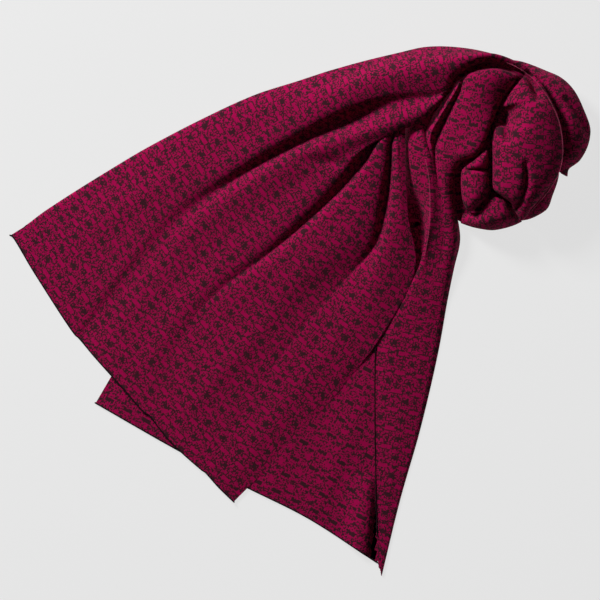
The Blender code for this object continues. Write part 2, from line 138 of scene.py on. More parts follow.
# Stations are distances from the open end.
UPPER_STATIONS = (0, 75, 150, 225, 300, 350, 395, 440, 480, 520, 550)
FIRST_VALLEY = (
    (-221.4, -26.6), (-173, 35), (-123, 90), (-61, 133), (5, 170), (50, 190), (92, 207), (143, 217),
    (152, 232), (184, 249), (214, 241),
)
SECOND_VALLEY = (
    (-153, -103), (-105, -5), (-80, 20), (-20, 65), (40, 120), (65, 150), (78, 172), (89, 176),
)
THIRD_VALLEY = (
    (-95.7, -160.7), (0, -20), (45, 30), (75, 65), (85, 100), (90, 140), (92, 170), (96, 179),
)
UPPER_TAIL = (
    Line("back selvedge", ((-289, 75), (-224, 115.5), (-160, 154), (-94, 190), (-25, 217), (22, 231),
         (66, 242), (109, 252), (150, 254), (189, 250), (214, 241)), (0, 0, 0, 0, 0, 0, 0, 0, 0, 5, 30)),
    Line("outline", ((-287, 74), (-250, 97.5), (-200, 129.2), (-150, 159.2), (-50, 210.4), (50, 242.4),
         (100, 255), (130, 261), (170, 258.5), (205, 249.5), (219, 244)),
         (0, 0.5, 1.2, 3, 7, 10, 15, 20, 26, 30, 33)),
    Line("band crest", ((-265, 38), (-137, 121), (-9, 199), (60, 228), (120, 243), (156, 249), (190, 253),
         (216, 243)), (0.6, 3, 6, 10, 17, 25, 34, 42, 50, 50, 37)),
    Line("first valley's brow", FIRST_VALLEY, (0.6, 2.6, 5.5, 10, 17.5, 25, 33, 41, 47, 48, 37), (-3, -9, -12,
         -11, -12, -15, -11, -7, -4, -2, -0.8)),
    Line("first valley", FIRST_VALLEY, (0, 1, 2.5, 3, 3.5, 6, 24, 37, 41, 44, 36)),
    Line("second ridge", ((-204.4, -46.6), (-159, 17), (-114, 77), (-56, 125), (9, 160), (56, 175), (98, 189),
         (136, 207), (150, 230), (183, 247), (212, 239)), (2, 3.2, 6, 10.5, 18, 25, 32, 38, 28, 30, 33)),
    Line("ridge lip", ((-178, -76), (-143, -6), (-98, 54), (-40, 101), (22, 143), (66, 166), (97, 180),
         (123, 191), (133, 205)), (2.6, 3, 5, 9, 15, 22, 27, 29, 20)),
    Line("second valley's back brow", SECOND_VALLEY, (2.4, 3, 4.5, 8, 13.5, 18, 20, 20),
         (-2, -4, -7, -9, -11, -10, -6, -3)),
    Line("second valley", SECOND_VALLEY, (2.3, 2.6, 3, 3, 3, 3, 4, 5)),
    Line("second valley's front brow", SECOND_VALLEY, (2.4, 3, 4.5, 8, 13.5, 18, 20, 20),
         (2, 4, 5, 5.5, 6, 5.5, 4, 2.5)),
    Line("third ridge", ((-130, -130), (-40, 10), (30, 85), (65, 130), (83, 170), (92, 178)),
         (2.3, 4, 5.5, 10, 15, 20.5, 23, 23)),
    Line("third valley's back brow", THIRD_VALLEY, (2.4, 3, 4, 9, 14, 18.5, 21, 21),
         (-2, -3, -6, -9, -10.5, -7, -4, -3)),
    Line("third valley", THIRD_VALLEY, (2.3, 2.6, 2.8, 2.8, 2.6, 3, 4, 5)),
    Line("third valley's front brow", THIRD_VALLEY, (2.4, 3, 4, 7, 12.5, 17.5, 21, 21),
         (2, 3, 4, 5, 5.5, 4, 3, 2.5)),
    Line("fourth ridge", ((-80.7, -176.7), (30, -40), (85, 45), (98, 100), (99, 140), (101, 181)),
         (2.3, 2.4, 2.8, 6.5, 13.5, 19, 22, 23)),
    Line("front selvedge", ((-65.7, -191.2), (2, -122), (75, -36), (95, 1), (115, 34), (111, 62), (108, 92),
         (105, 145), (105, 184)), (2.3, 2.3, 2.4, 5.2, 8, 16, 20.5, 21.5)),
)
UPPER_ACROSS = (1, 2, 3, 2, 2, 2, 2, 1, 1, 1, 2, 1, 1, 1, 2)
UPPER_ALONG = (4, 4, 4, 5, 4, 4, 4, 3, 3, 2)

UNDER_STATIONS = (0, 75, 150, 225, 290)
UNDER_TAIL = (
    Line("hidden selvedge", ((-204, -92.4), (-178, -48), (-152, -5), (-125, 38), (-98, 78)), (0, 0, 0, 0, 0)),
    Line("left quarter", ((-131.5, -134), (-108, -85), (-84, -38), (-60, 8), (-38, 50)), (0, 0, 0, 0, 0)),
    Line("middle", ((-62, -172), (-42, -122), (-21, -75), (2, -26), (22, 20)), (0, 0, 0, 0, 0)),
    Line("right quarter", ((8.3, -207.3), (26, -160), (44, -110), (62, -58), (80, -10)), (0, 0, 0, 0, 0)),
    Line("beside the fold", ((77.5, -252), (95, -192), (112, -132), (127, -70), (138, -10)), (0, 0, 0, 0, 0)),
)
UNDER_ACROSS = (3, 3, 3, 3)
UNDER_ALONG = (3, 3, 3, 3)

STRIP_STATIONS = (0, 75, 150, 228, 282, 315, 345, 370, 400, 432, 457, 480, 505, 530, 545)
TURNED_STRIP = (
    Line("strip selvedge", ((78, -254), (76, -190), (75, -120), (75, -43), (78, 10), (92, 42), (101, 72),
         (104, 95), (104, 126), (104, 155), (104, 172), (105, 186)), (2.6, 3.2, 2.6, 2.4, 2.4, 1.5, 0.5, 0.3,
         0.3, 0.3, 0.3, 0.3)),
    Line("pleat foot", ((79, -256), (78, -190), (78, -120), (79, -43), (97, 10), (118, 40), (125, 68),
         (122, 95), (113, 125), (110, 155), (110, 172), (112, 188)), (2.5, 2.8, 2.5, 2.6, 2.6, 3, 0.6, 0.5,
         12, 18, 18.5, 16)),
    Line("pleat ridge", ((79, -258), (82, -190), (84, -120), (86, -43), (107, 10), (121, 42), (127, 70),
         (131, 95), (131, 125), (127, 155), (121, 174), (120, 189)), (2.5, 2.6, 2.8, 3.6, 4.8, 8, 14, 19, 24,
         27, 26, 16)),
    Line("crease beside the pleat", ((80, -259), (88, -190), (98, -120), (107, -43), (114, 10), (127, 42),
         (131, 70), (134, 95), (133, 125), (129, 157), (125, 175), (132, 190), (144, 207), (155, 222),
         (155, 225)), (2.5, 2.6, 2.8, 3.6, 5.6, 8, 13.2, 18.2, 23.2, 25, 20, 13, 18, 22, 16)),
    Line("narrow fold", ((80, -260), (90, -190), (103, -120), (113, -43), (121, 10), (131, 42), (135, 70),
         (136, 95), (135, 125), (131, 158), (130, 174), (138, 190), (149, 208), (158, 224), (158, 227)), (2.5,
         2.6, 2.8, 3.6, 5.6, 8, 12.6, 17.4, 22.4, 25, 29, 34, 39, 42, 28)),
    Line("valley beside the panel", ((80.5, -261), (92, -190), (107, -120), (119, -43), (127, 10), (135, 42),
         (138, 70), (138, 95), (137, 125), (133, 157), (136, 171), (145, 190), (155, 210), (162, 226),
         (162, 229)), (2.5, 2.6, 2.8, 3.6, 5.6, 8, 12.2, 16.8, 21.6, 20, 20, 22, 28, 32, 22)),
    Line("panel left", ((80.7, -261), (94, -190), (110, -120), (124, -43), (132, 10), (139, 42), (144, 70),
         (142, 95), (140, 126), (139, 157), (145, 174), (154, 196), (163, 216), (168, 231), (168, 234)), (2.5,
         2.6, 2.8, 3.6, 5.6, 8, 12, 16.8, 21.6, 26, 31, 38, 44, 47, 34)),
    Line("panel middle", ((81, -261.5), (96, -190), (114, -120), (129, -43), (137, 10), (144, 42), (150, 70),
         (149, 95), (145, 125), (148, 153), (160, 168), (171, 191), (180, 213), (190, 236), (190.5, 239)),
         (2.5, 2.6, 2.7, 3.4, 5.5, 9, 13.5, 18, 23.5, 30, 38, 46, 51, 53, 38)),
    Line("panel edge", ((80.8, -264), (98, -190), (117, -120), (134, -43), (143, 10), (149, 42), (154.5, 70),
         (152.5, 95), (151, 125), (156, 148), (175, 158), (187, 184), (197, 209), (213, 232), (214, 235)),
         (2.5, 2.5, 2.5, 2.9, 4.6, 8, 12, 16, 20, 30, 42, 46, 45, 46, 38)),
    Line("fold on the table", ((81.5, -266), (100, -190), (120, -120), (138, -43), (147.5, 10), (154, 42),
         (160, 70), (157, 95), (153.5, 123), (158, 144), (178, 156), (190, 183), (200, 208), (216, 231),
         (217, 234)), (0, 0, 0, 0, 0, 0, 0, 5, 10, 18, 28, 35, 39, 42, 37)),
)
STRIP_ACROSS = (1, 2, 1, 1, 1, 1, 2, 2, 2)
STRIP_ALONG = (3, 3, 3, 3, 2, 2, 2, 2, 2, 2, 2, 2, 2, 1)

FRONT_LOOP = (
    Section(90, 219, 26, 220.5, 29, 222.5, 25, 3),
    Section(94, 217.5, 30, 220.5, 35, 225, 31, 5),
    Section(100, 214, 35, 221, 42, 229, 36, 8),
    Section(107, 211, 37, 221, 47, 235, 38, 10),
    Section(113, 203, 39, 220, 51, 240, 40, 13),
    Section(121, 194, 40, 219, 54, 246, 41, 14),
    Section(131, 193, 40, 220, 57, 254, 43, 14),
    Section(146, 193, 40, 222, 60, 259.5, 45, 14),
    Section(170, 193, 40, 225, 63, 260.5, 47, 14),
    Section(184, 195.5, 37, 228, 63, 258, 47, 13),
    Section(196, 199.6, 36, 230, 62, 254.5, 47, 11),
    Section(207, 204.8, 41.5, 230, 58, 249.5, 47, 8),
    Section(217, 210.6, 43.5, 229, 54, 244, 46, 5),
    Section(226, 217.8, 44.5, 228, 51, 237.5, 46, 4),
    Section(235, 224.5, 44, 227, 48, 229.5, 44, 2),
    Section(241, 219, 43, 222, 48, 225, 46, 1),
    Section(246, 213, 44, 215.5, 49, 218, 46, 1),
)
TONGUE = (
    Section(99.5, 167, 22, 169.5, 26, 172, 23, 4),
    Section(104, 165, 27, 171, 36, 177, 29, 10),
    Section(110, 163, 29, 173, 41, 183, 32, 13),
    Section(118, 162, 31, 175, 43, 187.5, 34, 14),
    Section(128, 161.5, 32, 175, 43, 187.5, 35, 14),
    Section(136, 162, 33, 175, 42, 187, 35, 14),
    Section(139.5, 163, 30, 174, 33, 186, 32, 12),
    Section(143, 167, 36, 176, 44, 186.5, 36, 12),
    Section(150, 176, 38, 181, 44, 186.5, 38, 8),
    Section(155, 181, 38, 184, 42, 186.5, 37, 6),
    Section(159, 184.5, 36, 185.5, 38, 186.5, 35, 3),
)
OUTER_ROLL = (
    Roll((209, 249, 10), (211, 244, 19), (213, 240, 16)),
    Roll((222, 246, 17), (223, 239, 30), (226, 232, 25)),
    Roll((245, 237, 20), (240, 228, 37), (233, 220, 30)),
    Roll((260, 230, 20), (252, 219, 39), (243, 212, 32)),
    Roll((272, 218, 20), (261, 208, 40), (249, 202, 32)),
    Roll((282, 198, 20), (269, 193, 40), (252, 190, 32)),
    Roll((288, 180, 18), (272, 178, 38), (253, 177, 32)),
    Roll((286, 165, 17), (271, 165, 36), (253, 166, 30)),
    Roll((278, 150, 15), (265, 154, 34), (249, 158, 30)),
    Roll((267, 141, 15), (257, 146, 30), (244, 153, 29)),
    Roll((265.5, 133.5, 15), (257, 139, 26), (245, 147.5, 28)),
)
SIDE_ROLL = (
    Roll((258, 145, 6), (251, 148, 13), (243, 149, 12)),
    Roll((258, 138, 8), (251, 140, 17), (242, 143, 16)),
    Roll((256, 129, 13), (249, 132, 26), (238, 135, 23)),
    Roll((251, 115, 14), (243, 119, 29), (231, 125, 25)),
    Roll((246, 102, 13), (237, 107, 27), (226, 114, 24)),
    Roll((236, 95, 12), (231, 101, 25), (223, 109, 22)),
    Roll((228, 91.5, 9), (226, 97, 20), (221.5, 105, 19)),
    Roll((223.5, 90.5, 8), (222.5, 95, 17), (220, 101, 17)),
)
LOWER_ROLL = (
    Roll((161, 87.5, 8), (162, 92, 12), (163, 96, 11)),
    Roll((172, 84, 13), (176, 91, 26), (178, 98, 24)),
    Roll((182, 82, 15), (184, 91, 33), (186, 105, 32)),
    Roll((192, 81, 16), (193, 92, 36), (194, 112, 35)),
    Roll((204, 83, 16), (203, 94, 36), (203, 109, 34)),
    Roll((214, 86, 13), (211, 94, 29), (208, 103, 27)),
    Roll((221, 89, 10), (217, 95, 20), (214, 101, 19)),
)

# Path of a row of dark stitches along the strip's selvedge, which paints the shadow in the gap beside that
# edge.
STRIP_SELVEDGE_SHADOW = (
    (75.6, -36, 3.6), (75, -60, 2.6), (75, -120, 2.8), (75.6, -160, 3), (76, -190, 3.6), (77.4, -225, 3.2),
)
# Paths of pale fibres that are partly fuzz and partly a painted highlight along the folded edges.
LOOP_RIM = (
    (166, 257, 33), (180, 254.5, 37), (195, 250, 41), (209, 244.5, 45), (220, 238.5, 49), (232, 229, 51),
    (243, 216, 52), (250, 204, 53), (256, 190, 54), (260, 172, 54), (260.5, 150, 53), (255, 131, 50),
    (246, 117, 47), (236, 105, 44), (226, 94, 37), (221.5, 89, 30),
)
PLEAT_RIM = (
    (125, 150, 30.5), (128.5, 130, 27.5), (129.5, 105, 24), (129, 85, 20), (126.5, 65, 15.5),
    (124.5, 55, 13.5),
)
LOOP_CREASES = (
    Crease(((203, 203), (205, 194), (204, 180)), 21, 12),
    Crease(((203, 188), (206, 178), (207, 164)), 11, 6),
    Crease(((223, 150), (225, 130), (220, 109), (215, 97)), 11, 3),
    Crease(((219, 113), (217, 105), (215, 97)), 8, 3.6),
    Crease(((221, 237), (228, 228), (234, 216), (238, 206)), 15, 4.6),
)
ROLL_CREASES = (Crease(((261, 213), (271, 200), (280, 185), (287, 170)), 6, 3.6),)
UPPER_CREASES = (
    Crease(((-240, 60), (-160, 115), (-80, 160)), -1.2, 13),
    Crease(((-205, 5), (-140, 75), (-75, 125)), -1.0, 11),
    Crease(((-160, -60), (-110, 10), (-70, 50)), -1.4, 12),
    Crease(((-120, -110), (-50, -30), (10, 40)), -1.3, 11),
    Crease(((-70, -160), (0, -75), (55, -5)), -1.1, 10),
    Crease(((-10, 150), (25, 149), (60, 142)), 2.4, 6),
    Crease(((-65, -190), (-32, -156), (2, -122), (38, -80), (75, -36)), 0.4, 4),
    Crease(((42, -78), (54, -63), (66, -48)), 1.1, 5),
)
UNDER_CREASES = (
    Crease(((-40, -190), (0, -110), (40, -30)), -0.9, 12),
    Crease(((10, -215), (50, -120), (80, -40)), -1.0, 11),
    Crease(((50, -295), (57, -250), (64, -205), (70, -165)), -6.5, 14),
    Crease(((66, -300), (71, -252), (75, -205), (76, -165)), 8.0, 4.2),
)

# ----------------------------------------
# Curves and grids


def spline(points: np.ndarray, where: np.ndarray) -> np.ndarray:
    """Centripetal Catmull-Rom curves through points[0], points[1], ...

    Args:
        points: the control points along the first axis.
        where: fractional indices into them.

    Returns:
        The curves' points at those indices.
    """
    ends = 2 * points[:1] - points[1:2], 2 * points[-1:] - points[-2:-1]
    padded = np.concatenate([ends[0], points, ends[1]])
    start = np.minimum(where.astype(int), len(points) - 2)
    share = (where - start).reshape((-1,) + (1,) * (points.ndim - 1))
    a, b, c, d = (padded[start + step] for step in range(4))

    def knot(p: np.ndarray, q: np.ndarray) -> np.ndarray:
        """The root of the distance between two points, kept above zero."""
        return np.sqrt(np.maximum(np.linalg.norm(q - p, axis=-1, keepdims=True), LEAST_GAP))

    t1 = knot(a, b)
    t2 = t1 + knot(b, c)
    t3 = t2 + knot(c, d)
    t = t1 + share * (t2 - t1)
    ab = a + (b - a) * t / t1
    bc = b + (c - b) * (t - t1) / (t2 - t1)
    cd = c + (d - c) * (t - t2) / (t3 - t2)
    abc = ab + (bc - ab) * t / t2
    bcd = bc + (cd - bc) * (t - t1) / (t3 - t1)
    return abc + (bcd - abc) * (t - t1) / (t2 - t1)


def split(steps: tuple) -> np.ndarray:
    """Fractional indices that cut each interval i into steps[i] equal parts."""
    parts = [i + np.arange(count) / count for i, count in enumerate(steps)]
    return np.concatenate(parts + [[len(steps)]])


def curve_through(points: tuple, steps: int) -> np.ndarray:
    """The points of a smooth line, with this many steps between each two of those given."""
    return spline(np.array(points, float), split((steps,) * (len(points) - 1)))


def along(line: Line, stations: tuple) -> np.ndarray:
    """The line's points at its stations: true distances up to the neck, and shares of the rest.

    Args:
        line: the fold or edge.
        stations: distances from the open end, in mm.

    Returns:
        One point for each station. Those past the line's end are carried on straight.
    """
    path = curve_through(line.path, PATH_STEPS)
    arc = np.concatenate([[0], np.cumsum(np.linalg.norm(np.diff(path, axis=0), axis=1))])
    reached = np.array(stations[: len(line.heights)], float)
    if len(line.path) == len(line.heights):
        plan = np.array(line.path, float)
    else:
        beyond = (reached - NECK) / (reached[-1] - NECK)
        distance = np.where(reached > NECK, NECK + beyond * (arc[-1] - NECK), reached)
        plan = np.column_stack([np.interp(distance, arc, path[:, axis]) for axis in (0, 1)])
    if line.aside:
        step = np.gradient(plan, axis=0)
        front = np.column_stack([step[:, 1], -step[:, 0]]) / np.linalg.norm(step, axis=1, keepdims=True)
        plan = plan + front * np.array(line.aside, float)[:, None]
    points = np.column_stack([plan, line.heights])
    missing = len(stations) - len(points)
    step = points[-1] - points[-2]
    return np.vstack([points] + [points[-1] + step * (i + 1) for i in range(missing)])


def grid_through(table: np.ndarray, across: tuple, lengthwise: tuple) -> np.ndarray:
    """The smooth grid through a table of points, cut into this many cells between each two."""
    grid = spline(table, split(across))
    return spline(grid.transpose(1, 0, 2), split(lengthwise)).transpose(1, 0, 2)


def reached_cells(lines: tuple, across: tuple, lengthwise: tuple) -> np.ndarray:
    """Which of a grid's cells are cloth: those between lines that both reach that far."""
    cells = []
    for near, far, count in zip(lines, lines[1:], across):
        reach = min(len(near.heights), len(far.heights)) - 1
        row = np.arange(sum(lengthwise)) < sum(lengthwise[:reach])
        cells += [row] * count
    return np.array(cells)


def loop_table(sections: tuple, tuck: float) -> np.ndarray:
    """A loop's lines, from its inner edge over the crest to its outer edge, both turned down."""
    rows = []
    for s in sections:
        inside = s.inner + tuck / 2, s.y, s.inner_z - s.drop
        shoulder = (s.inner * 2 + s.crest) / 3, s.y, s.inner_z + (s.crest_z - s.inner_z) * SHOULDER_RISE
        slope = (s.outer * 2 + s.crest) / 3, s.y, s.outer_z + (s.crest_z - s.outer_z) * SLOPE_RISE
        under = s.outer - tuck, s.y, s.outer_z - tuck
        edges = (s.inner, s.y, s.inner_z), (s.crest, s.y, s.crest_z), (s.outer, s.y, s.outer_z)
        rows.append((inside, edges[0], shoulder, edges[1], slope, edges[2], under))
    return np.array(rows, float).transpose(1, 0, 2)


def roll_table(sections: tuple, tuck: float) -> np.ndarray:
    """A roll's lines, from the table round its outline and over the crest to its inner edge."""
    rows = []
    for s in sections:
        outline, crest, inner = (np.array(p, float) for p in (s.outline, s.crest, s.inner))
        inwards = crest - outline
        inwards[2] = 0
        foot = outline + inwards * tuck / np.linalg.norm(inwards)
        foot[2] = CLOTH / 2
        brow = outline * (1 - BROW_PLACE) + crest * BROW_PLACE
        brow[2] += BROW_RISE * (crest[2] - outline[2])
        rows.append((foot, outline, brow, crest, inner))
    return np.array(rows, float).transpose(1, 0, 2)


def distance_to_path(plan: np.ndarray, path: np.ndarray) -> tuple:
    """How far points in plan are from a path, and where along it they are nearest.

    Args:
        plan: (n, 2) points.
        path: (m, 2) points of the path.

    Returns:
        The distances, and the shares of the path's length, each (n,).
    """
    steps = np.linalg.norm(np.diff(path, axis=0), axis=1)
    arc = np.concatenate([[0], np.cumsum(steps)])
    best = np.full(len(plan), np.inf)
    share = np.zeros(len(plan))
    for a, b, start, step in zip(path, path[1:], arc, steps):
        t = np.clip((plan - a) @ (b - a) / step**2, 0, 1)
        gap = np.linalg.norm(plan - a - t[:, None] * (b - a), axis=1)
        nearer = gap < best
        best[nearer] = gap[nearer]
        share[nearer] = ((start + t * step) / arc[-1])[nearer]
    return best, share


def creased(grid: np.ndarray, creases: tuple) -> np.ndarray:
    """The grid with its creases."""
    plan = grid[..., :2].reshape(-1, 2)
    change = np.zeros(len(plan))
    for crease in creases:
        path = curve_through(crease.path, CREASE_STEPS)
        gap, share = distance_to_path(plan, path)
        fade = np.clip(np.sin(np.pi * share), 0, 1) ** FADE
        change -= crease.depth * fade * np.exp(-((gap / crease.width) ** 2))
    grid[..., 2] += change.reshape(grid.shape[:2])
    return grid


# ----------------------------------------
# The flat plan of the cloth


@dataclass
class FlatPlan:
    """The flat shape that a stretch of cloth had on the knitting machine.

    The cells of a grid are laid out flat with the sizes that they have in space. Where a pleat swallows
    cloth, the plan is slit along its valley, so each side keeps its own stitches. Places on the plan are
    complex numbers, u + vj in mm, with u across the cloth and v along it.
    """

    grid: np.ndarray
    cells: np.ndarray
    slits: tuple = ()  # (column, row from which the plan is slit)
    pin_end: bool = True  # lays the open end on a straight line

    def strips(self) -> list:
        """The first and last column of each strip between slits."""
        edges = [0] + [column for column, _ in self.slits] + [self.grid.shape[0] - 1]
        return list(zip(edges, edges[1:]))

    def numbering(self) -> list:
        """For each strip, the number of the plan's point at each of its columns and rows."""
        rows = self.grid.shape[1]
        starts = dict(self.slits)
        made, count = [], 0
        for first, last in self.strips():
            index = np.arange(count, count + (last - first + 1) * rows).reshape(-1, rows)
            count += index.size
            if made:
                joined = starts[first] + 1
                index[0, :joined] = made[-1][-1, :joined]
            made.append(index)
        return made

    def triangles(self) -> tuple:
        """The triangles of the cloth.

        Returns:
            (t, 3) numbers of their corners, (t, 3) complex flat shapes about their middles, and their areas.
        """
        halves = (((0, 0), (1, 0), (1, 1)), ((0, 0), (1, 1), (0, 1)))
        halves += (((0, 0), (1, 0), (0, 1)), ((1, 0), (1, 1), (0, 1)))
        numbers, shapes = [], []
        for (first, last), index in zip(self.strips(), self.numbering()):
            i, j = np.nonzero(self.cells[first:last])
            for half in halves:
                numbers.append(np.stack([index[i + di, j + dj] for di, dj in half], axis=1))
                a, b, c = (self.grid[i + di + first, j + dj] for di, dj in half)
                base = np.maximum(np.linalg.norm(b - a, axis=1), 1e-6)
                foot = ((c - a) * (b - a)).sum(axis=1) / base
                height = np.sqrt(np.maximum(((c - a) ** 2).sum(axis=1) - foot**2, 0))
                shapes.append(np.stack([0 * base, base, foot + 1j * height], axis=1))
        shapes = np.concatenate(shapes)
        area = (shapes[:, 1] * shapes[:, 2].imag).real / 2
        return np.concatenate(numbers), shapes - shapes.mean(axis=1, keepdims=True), area

    def guess(self) -> list:
        """A first plan of each strip: each row laid straight, at its distance along the strip's middle."""
        ends = np.concatenate([[0], np.cumsum(np.linalg.norm(np.diff(self.grid[:, 0], axis=0), axis=1))])
        made = []
        for first, last in self.strips():
            part = self.grid[first : last + 1]
            steps = np.linalg.norm(np.diff(part, axis=0), axis=-1)
            u = np.concatenate([np.zeros((1, part.shape[1])), np.cumsum(steps, axis=0)])
            middle = len(part) // 2
            v = np.concatenate([[0], np.cumsum(np.linalg.norm(np.diff(part[middle], axis=0), axis=1))])
            made.append(ends[first + middle] + u - u[middle] + 1j * v)
        return made

    def settle(self, plans: list, rounds: int) -> list:
        """Eases every triangle towards its own shape, the large ones more than the small.

        Args:
            plans: the complex places of each strip's columns and rows.
            rounds: how often each triangle pulls at its corners.

        Returns:
            The eased places.
        """
        numbering = self.numbering()
        place = np.zeros(max(index.max() for index in numbering) + 1, complex)
        for index, plan in zip(numbering, plans):
            place[index] = plan
        numbers, shapes, area = self.triangles()
        corners_of = numbers.ravel()
        pull = np.repeat(np.sqrt(np.maximum(area, 1e-6)), 3)
        total = np.bincount(corners_of, pull, len(place))
        free = total > 0
        if self.pin_end:
            free[np.concatenate([index[:, 0] for index in numbering])] = False
        for _ in range(rounds):
            corners = place[numbers]
            turn = (corners * np.conj(shapes)).sum(axis=1, keepdims=True)
            turn = turn / np.maximum(np.abs(turn), 1e-9)
            goal = (corners.mean(axis=1, keepdims=True) + turn * shapes).ravel()
            moved = np.bincount(corners_of, pull * goal.real, len(place))
            moved = moved + 1j * np.bincount(corners_of, pull * goal.imag, len(place))
            place = np.where(free, moved / np.maximum(total, 1e-12), place)
        return [place[index] for index in numbering]

    def finer(self, grid: np.ndarray, cells: np.ndarray, fineness: int) -> "FlatPlan":
        """The plan of the same cloth on a finer grid, with this many cells to one."""
        slits = tuple(times(slit, fineness) for slit in self.slits)
        return FlatPlan(grid, cells, slits, self.pin_end)


def planned(coarse: FlatPlan, fine: FlatPlan, fineness: int) -> list:
    """The flat plan of a stretch of cloth, found on a coarse grid and settled on a fine one.

    Args:
        coarse: the cloth at the frame's fineness.
        fine: the same cloth at the mesh's fineness.
        fineness: cells of the fine grid to one of the coarse one.

    Returns:
        For each strip, (u, v) in mm at each of its columns and rows.
    """
    plans = coarse.settle(coarse.guess(), COARSE_ROUNDS)
    steps = [tuple((fineness,) * (size - 1) for size in plan.shape) for plan in plans]
    pairs = [np.stack([plan.real, plan.imag], axis=-1) for plan in plans]
    first = [grid_through(pair, *step) for pair, step in zip(pairs, steps)]
    settled = fine.settle([plan[..., 0] + 1j * plan[..., 1] for plan in first], FINE_ROUNDS)
    return [np.stack([plan.real, plan.imag], axis=-1) for plan in settled]


# ----------------------------------------
# Meshes


def cloth_piece(
    name: str, points: np.ndarray, faces: list, plan: np.ndarray, finishes: tuple
) -> bpy.types.Object:
    """Makes a mesh of knit.

    Args:
        name: the piece's name.
        points: (n, 3) in mm.
        faces: the numbers of each face's points.
        plan: the flat plan's place of each face's corners, in mm.
        finishes: its materials.

    Returns:
        The piece.
    """
    mesh = bpy.data.meshes.new(name)
    mesh.from_pydata((points * MM).tolist(), [], faces)
    layer = mesh.uv_layers.new(name=KNIT_MAP)
    layer.uv.foreach_set("vector", (plan * MM).astype(np.float32).ravel())
    for finish in finishes:
        mesh.materials.append(finish)
    return place(name, mesh)


@dataclass
class ClothMesh:
    """The faces of one stretch of cloth, before it gets its thickness."""

    name: str
    points: np.ndarray  # (n, 3) in mm
    quads: np.ndarray  # (m, 4) into points
    plan: np.ndarray  # (m, 4, 2), the flat plan's place of each corner, in mm
    body: np.ndarray  # (n,), the share of the full thickness, which thins out at the selvedges

    @classmethod
    def from_grid(
        cls, name: str, grid: np.ndarray, cells: np.ndarray, plans: list, strips: list
    ) -> "ClothMesh":
        """Joins a grid's cells into quads.

        Args:
            name: the piece's name.
            grid: (columns, rows, 3) points in mm.
            cells: which of the grid's cells are cloth.
            plans: the flat plan of each strip at each of its columns and rows.
            strips: the first and last column of each strip.

        Returns:
            The quads, turned to face up.
        """
        rows = grid.shape[1]
        quads, corners = [], []
        for (first, last), plan in zip(strips, plans):
            i, j = np.nonzero(cells[first:last])
            quads.append(np.stack([(i + first + di) * rows + j + dj for di, dj in CORNERS], axis=1))
            corners.append(np.stack([plan[i + di, j + dj] for di, dj in CORNERS], axis=1))
        quads, corners = np.concatenate(quads), np.concatenate(corners)
        points = grid.reshape(-1, 3)
        reach = np.cumsum(np.linalg.norm(np.diff(grid, axis=0), axis=-1), axis=0)
        reach = np.concatenate([np.zeros((1, rows)), reach])
        body = np.clip(np.minimum(reach, reach[-1] - reach) / ROUNDING, 0, 1).ravel()
        used = np.unique(quads)
        renumber = np.zeros(len(points), int)
        renumber[used] = np.arange(len(used))
        points, quads, body = points[used], renumber[quads], body[used]
        a, b, c, d = (points[quads[:, k]] for k in range(4))
        if np.cross(c - a, d - b)[:, 2].sum() < 0:
            quads, corners = quads[:, ::-1], corners[:, ::-1]
        return cls(name, points, quads, corners, body)

    def build(self, top: bpy.types.Material, under: bpy.types.Material) -> bpy.types.Object:
        """Gives the cloth its thickness, on top of its points.

        Args:
            top: the finish of the upper side and of the cut edges.
            under: the finish of the side underneath.

        Returns:
            The finished piece, as a plain mesh with its flat plan as a UV map.
        """
        piece = cloth_piece(self.name, self.points, self.quads.tolist(), self.plan, (top, under))
        full = piece.vertex_groups.new(name="full thickness")
        for number, share in enumerate(self.body):
            full.add([number], share, "REPLACE")
        wall = piece.modifiers.new("Cloth", "SOLIDIFY")
        wall.vertex_group = full.name
        wall.thickness_vertex_group = THIN_EDGE
        wall.thickness = WALL * MM
        wall.offset = 1.0
        wall.use_quality_normals = True
        flatten_modifiers(piece)
        lift_off_table(piece.data)
        paint_underside(piece.data, len(self.quads))
        piece.data.shade_smooth()
        piece.data.set_sharp_from_angle(angle=SHARP_FROM)
        return piece


def made_mesh(source: bpy.types.Object) -> bpy.types.Mesh:
    """The plain mesh that an object's modifiers make."""
    bpy.context.view_layer.update()
    done = source.evaluated_get(bpy.context.evaluated_depsgraph_get())
    return bpy.data.meshes.new_from_object(done)


def flatten_modifiers(piece: bpy.types.Object) -> None:
    """Turns a piece into the plain mesh that its modifiers make."""
    mesh = made_mesh(piece)
    mesh.name = piece.name
    piece.modifiers.clear()
    piece.data = mesh


def lift_off_table(mesh: bpy.types.Mesh) -> None:
    """Keeps every corner above the table."""
    corners = np.empty(len(mesh.vertices) * 3, np.float32)
    mesh.vertices.foreach_get("co", corners)
    corners[2::3] = np.maximum(corners[2::3], TABLE_GAP * MM)
    mesh.vertices.foreach_set("co", corners)
    mesh.update()


def paint_underside(mesh: bpy.types.Mesh, count: int) -> None:
    """Gives the second slot to the side underneath.

    Args:
        mesh: cloth that Solidify has made: count faces of one side, then count of the other, then the edges.
        count: faces on each side.
    """
    normals = np.array([tuple(mesh.polygons[k].normal) for k in range(2 * count)])
    under = 0 if normals[:count, 2].sum() < normals[count:, 2].sum() else count
    slots = np.zeros(len(mesh.polygons), np.int32)
    slots[under : under + count] = 1
    mesh.polygons.foreach_set("material_index", slots)


def place(name: str, data: bpy.types.ID) -> bpy.types.Object:
    """Puts a new object of this data in the scene."""
    made = bpy.data.objects.new(name, data)
    bpy.context.scene.collection.objects.link(made)
    return made


def times(steps: tuple, fineness: int) -> tuple:
    """The same steps, each cut into this many."""
    return tuple(count * fineness for count in steps)


def declare(piece: bpy.types.Object, cut: tuple) -> None:
    """Works out the area that a piece of cloth had on the knitting machine, and leaves it unused.

    Args:
        piece: the cloth.
        cut: its width and length on the flat plan, in mm.
    """
    width, length = (size * MM for size in cut)
    area = sum(face.area for face in piece.data.polygons) / 2
    flat_area = min(max(area, LEAST_AREA * width * length), width * length)


